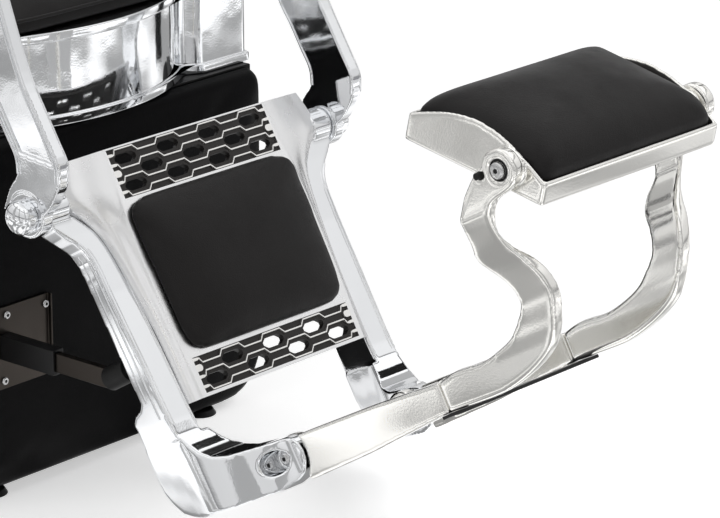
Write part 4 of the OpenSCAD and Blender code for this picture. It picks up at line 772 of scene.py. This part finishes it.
def button(name, place, sign, x, radius, body, rise=2.4, shank=()):
    """A domed button head, its hexagon socket drawn as a black disc of painted shade."""
    dome = [(x + rise * math.sin(a), radius * math.cos(a)) for a in spaced(0, 1.35, 7)]
    head = turned(name, list(shank) + [(x - 0.8, radius)] + dome, body, "steel", place, sign)
    # No socket is cut; this black disc on the dome is painted shade for the hollow
    turned(name + "_socket", [(x + rise * 0.6, radius / 3), (x + rise + 0.1, radius / 3)], body, "black_rubber",
        place, sign, 6)
    return head


def ends_across(node):
    """How far from the middle plane a solid of one side starts and ends, in millimetres."""
    low, high = (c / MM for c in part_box(node))
    return sorted((abs(low.x), abs(high.x)))


def ear_bolt(side, sign):
    """Nut, pin, washer and button head of the bolt that the footrest folds on."""
    near, far = ends_across("ear_bolt_" + side)
    shank = [(near, 5), (near, EAR_NUT), (near + EAR_NUT_LENGTH, EAR_NUT), (near + EAR_NUT_LENGTH, EAR_PIN),
        (far - 7, EAR_PIN), (far - 7, EAR_WASHER), (far - 5.4, EAR_WASHER)]
    bolt = button("ear_button", FOOT, sign, far - EAR_RISE, EAR_HEAD, "leg_rest", EAR_RISE, shank)
    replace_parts(bolt, "ear_bolt_" + side)


def hinge_cap(side, sign):
    """The pin of the leg rest, with its domed cap outside."""
    near, far = ends_across("hinge_pin_" + side)
    dome = [(far - CAP_DOME + CAP_DOME * math.sin(a), CAP_RADIUS * math.cos(a)) for a in spaced(0, 1.5, 13)]
    profile = [(near, PIN_RADIUS), (far - CAP_LENGTH, PIN_RADIUS), (far - CAP_LENGTH, CAP_RADIUS - 1),
        (far - CAP_LENGTH + 1, CAP_RADIUS)] + dome
    place = Matrix.Translation((0, HINGE.y * MM, HINGE.z * MM))
    pin = turned("hinge_cap", profile, "base", "chrome", place, sign, 64)
    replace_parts(pin, "hinge_pin_" + side)


def paint_bracket_bolt_shades():
    """A black hexagon disc on the middle of each bolt head of the stop bracket, painted shade for its socket."""
    points = [v.co for v in node_copy("bracket_bolts", ROW).vertices]
    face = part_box("bracket_bolts")[0].y
    found = []
    for point in points:
        if not any(math.hypot(point.x - x, point.z - z) < BOLT_REACH for x, z in found):
            found.append((point.x, point.z))
    for x, z in found:
        head = [p for p in points if math.hypot(p.x - x, p.z - z) < BOLT_REACH]
        x = (min(p.x for p in head) + max(p.x for p in head)) / 2
        z = (min(p.z for p in head) + max(p.z for p in head)) / 2
        place = Matrix.Translation((x * MM, face, z * MM)) @ Matrix.Rotation(-math.pi / 2, 4, "Z")
        # A flat black disc, painted shade for the socket hollow
        turned("bracket_socket", [(-1, SOCKET_SHADE_RADIUS), (0.05, SOCKET_SHADE_RADIUS)], "base", "black_rubber", place, 1, 6)


for side, sign in SIDES.items():
    for row in SIDE_BEADS:
        side_bead(side, *row)
    for rows, turn in ((UPRIGHT_FRONT, 1), (UPRIGHT_REAR, -1)):
        for x in (ARM_OUT, ARM_IN):
            arm_bead(side, rows, x, turn * RIM_INSET, RIM_RADIUS)
        arm_bead(side, rows, ARM_OUT, turn * LINE_INSET, LINE_RADIUS)
    ring("eye_ring", "foot_frame", "black_rubber", TRAY, (sign * EYE_RING[0], 0, 0), *EYE_RING[1:])
    ring("ear_ring", "leg_rest", "chrome", FOOT, (sign * EAR_RING[0], 0, 0), *EAR_RING[1:])
    button("eye_button", TRAY, sign, EYE_FACE, EYE_HEAD, "foot_frame")
    ear_bolt(side, sign)
    hinge_cap(side, sign)
paint_bracket_bolt_shades()

# Stage, light and camera
CAMERA_PLACE = Vector((-3.3072, -3.4644, 1.7779))
CAMERA_AIM = Vector((0.7178, 0.6239, -0.309))
CAMERA_LENS = 195
SENSOR = 36
FLOOR_TONE, SEEN_GLOW, MIRROR_GLOW = 0.86, 0.5, 0.6
PATCH_LEAST, PATCH_MOST = 0.3, 1.2


def make_camera():
    """The camera at the photo's place and angle."""
    camera = bpy.data.cameras.new("camera")
    camera.lens = CAMERA_LENS
    camera.sensor_width = SENSOR
    camera.sensor_fit = "HORIZONTAL"
    camera.clip_end = 100
    holder = bpy.data.objects.new("camera", camera)
    holder.matrix_world = Matrix.Translation(CAMERA_PLACE) @ CAMERA_AIM.to_track_quat("-Z", "Y").to_matrix().to_4x4()
    bpy.context.scene.collection.objects.link(holder)
    bpy.context.scene.camera = holder


def make_floor():
    """A pale floor, white to the eye, that polished metal mirrors in broad lighter and darker patches."""
    bm = bmesh.new()
    bmesh.ops.create_grid(bm, x_segments=1, y_segments=1, size=30)
    mesh = bpy.data.meshes.new("floor")
    bm.to_mesh(mesh)
    bm.free()
    made, tree, shader, where = plain("floor_white", (FLOOR_TONE,) * 3, 0, 0.9)
    path = tree.nodes.new("ShaderNodeLightPath")
    seen = tree.nodes.new("ShaderNodeMath")
    seen.operation = "MAXIMUM"
    tree.links.new(path.outputs["Is Camera Ray"], seen.inputs[0])
    tree.links.new(path.outputs["Is Transmission Ray"], seen.inputs[1])
    shader.inputs["Emission Color"].default_value = (1, 1, 1, 1)
    parts = add(tree, "ShaderNodeSeparateXYZ", {0: where})
    turn = add(tree, "ShaderNodeMath", {0: parts.outputs["Y"], 1: parts.outputs["X"]}, operation="ARCTAN2")
    away = add(tree, "ShaderNodeVectorMath", {0: where}, operation="LENGTH")
    polar = add(tree, "ShaderNodeCombineXYZ", {"X": turn.outputs[0], "Y": away.outputs["Value"]})
    cloud = add(tree, "ShaderNodeTexNoise", {"Vector": polar.outputs[0]}, Scale=2.6, Detail=1.0)
    patch = add(tree, "ShaderNodeMapRange", {"Value": cloud.outputs["Fac"]})
    patch.inputs["From Min"].default_value = 0.4
    patch.inputs["From Max"].default_value = 0.62
    patch.inputs["To Min"].default_value = PATCH_LEAST
    patch.inputs["To Max"].default_value = PATCH_MOST
    patch.interpolation_type = "SMOOTHSTEP"
    tone = add(tree, "ShaderNodeMix", {0: path.outputs["Is Glossy Ray"]}, data_type="FLOAT")
    tone.inputs[2].default_value = 1
    tree.links.new(patch.outputs["Result"], tone.inputs[3])
    shade = add(tree, "ShaderNodeMath", {0: tone.outputs[0]}, operation="MULTIPLY")
    shade.inputs[1].default_value = FLOOR_TONE
    tree.links.new(shade.outputs[0], shader.inputs["Base Color"])
    lift = tree.nodes.new("ShaderNodeMath")
    lift.operation = "MULTIPLY"
    lift.inputs[1].default_value = SEEN_GLOW
    tree.links.new(seen.outputs[0], lift.inputs[0])
    shine = add(tree, "ShaderNodeMath", {0: path.outputs["Is Glossy Ray"]}, operation="MULTIPLY")
    shine.inputs[1].default_value = MIRROR_GLOW
    gleam = add(tree, "ShaderNodeMath", {0: shine.outputs[0], 1: tone.outputs[0]}, operation="MULTIPLY")
    both = add(tree, "ShaderNodeMath", {0: lift.outputs[0], 1: gleam.outputs[0]}, operation="ADD")
    tree.links.new(both.outputs[0], shader.inputs["Emission Strength"])
    mesh.materials.append(made)
    floor = bpy.data.objects.new("floor", mesh)
    bpy.context.scene.collection.objects.link(floor)


# Bands that polished metal mirrors: share of the height of the sky, and tone
SKY_BANDS = ((0.05, 0.3), (0.1, 0.62), (0.34, 0.66), (0.48, 0.8), (0.56, 0.84), (0.585, 0.2), (0.61, 0.2),
    (0.64, 1.0), (0.86, 1.0))


def make_world():
    """Soft studio light all round, white to the eye, that polished metal mirrors in bands from floor to top."""
    world = bpy.data.worlds.new("studio")
    world.use_nodes = True
    tree = world.node_tree
    tree.nodes.clear()
    path = tree.nodes.new("ShaderNodeLightPath")
    lit = add(tree, "ShaderNodeBackground", Strength=0.55)
    seen = add(tree, "ShaderNodeBackground", Strength=1.0, Color=(1, 1, 1, 1))
    mirrored = add(tree, "ShaderNodeBackground", Strength=1.25)
    direction = tree.nodes.new("ShaderNodeTexCoord")
    parts = add(tree, "ShaderNodeSeparateXYZ", {0: direction.outputs["Generated"]})
    ramp = tree.nodes.new("ShaderNodeValToRGB")
    tree.links.new(parts.outputs["Z"], ramp.inputs["Fac"])
    stops = ramp.color_ramp
    stops.elements[0].position, stops.elements[0].color = 0.0, (0.25, 0.25, 0.26, 1)
    stops.elements[1].position, stops.elements[1].color = 1.0, (0.7, 0.7, 0.7, 1)
    for place, tone in SKY_BANDS:
        stop = stops.elements.new(place)
        stop.color = (tone, tone, tone, 1)
    tree.links.new(ramp.outputs["Color"], mirrored.inputs["Color"])
    first = add(tree, "ShaderNodeMixShader",
        {0: path.outputs["Is Glossy Ray"], 1: lit.outputs[0], 2: mirrored.outputs[0]})
    either = add(tree, "ShaderNodeMath", {0: path.outputs["Is Camera Ray"], 1: path.outputs["Is Transmission Ray"]},
        operation="MAXIMUM")
    last = add(tree, "ShaderNodeMixShader", {0: either.outputs[0], 1: first.outputs[0], 2: seen.outputs[0]})
    end = tree.nodes.new("ShaderNodeOutputWorld")
    tree.links.new(last.outputs[0], end.inputs["Surface"])
    bpy.context.scene.world = world


def soft_light(name, place, aim, size, power):
    """A lamp that shades the unit but is not seen in its metal, which mirrors the studio instead."""
    lamp = bpy.data.lights.new(name, "AREA")
    lamp.shape = "RECTANGLE"
    lamp.size, lamp.size_y = size
    lamp.energy = power
    holder = bpy.data.objects.new(name, lamp)
    place = Vector(place)
    turn = (Vector(aim) - place).to_track_quat("-Z", "Y").to_matrix().to_4x4()
    holder.matrix_world = Matrix.Translation(place) @ turn
    holder.visible_glossy = False
    bpy.context.scene.collection.objects.link(holder)


def flag(name, turn, wide, tone, away=1.9, high=2.6):
    """An upright studio card round the unit, seen only in polished metal."""
    angle = math.radians(turn)
    center = Vector((away * math.cos(angle), away * math.sin(angle), high / 2))
    bm = bmesh.new()
    across = Vector((-math.sin(angle), math.cos(angle), 0)) * wide / 2
    up = Vector((0, 0, high / 2 - 0.02))
    bm.faces.new([bm.verts.new(center + a * across + b * up) for a, b in ((-1, -1), (1, -1), (1, 1), (-1, 1))])
    mesh = bpy.data.meshes.new(name)
    bm.to_mesh(mesh)
    bm.free()
    made = plain(name, (tone, tone, tone), 0, 1, Specular_IOR_Level=0)[0]
    mesh.materials.append(made)
    card = bpy.data.objects.new(name, mesh)
    bpy.context.scene.collection.objects.link(card)
    set_all(card, {"visible_camera": False, "visible_diffuse": False, "visible_shadow": False,
        "visible_transmission": False})


# Lamps: place, aim, size and power
LAMPS = (("key", (1.6, -2.6, 3.2), (0, -0.3, 0.5), (2.2, 2.2), 60),
    ("fill", (-3.2, 0.4, 2.6), (0, -0.2, 0.5), (2.4, 2.4), 30))
# Cards: turn round the unit in degrees, width and tone
FLAGS = ((-100, 0.12, 0.06), (-78, 0.4, 0.8), (-12, 0.2, 0.03), (14, 0.5, 0.8), (48, 0.12, 0.05), (85, 0.5, 0.7),
    (118, 0.1, 0.05), (160, 0.4, 0.8), (186, 0.08, 0.05), (225, 0.3, 0.8))
for number, (turn, wide, tone) in enumerate(FLAGS):
    flag("flag_%d" % number, turn, wide, tone)
make_camera()
make_floor()
make_world()
for lamp in LAMPS:
    soft_light(*lamp)

bpy.context.scene.view_settings.view_transform = "Standard"
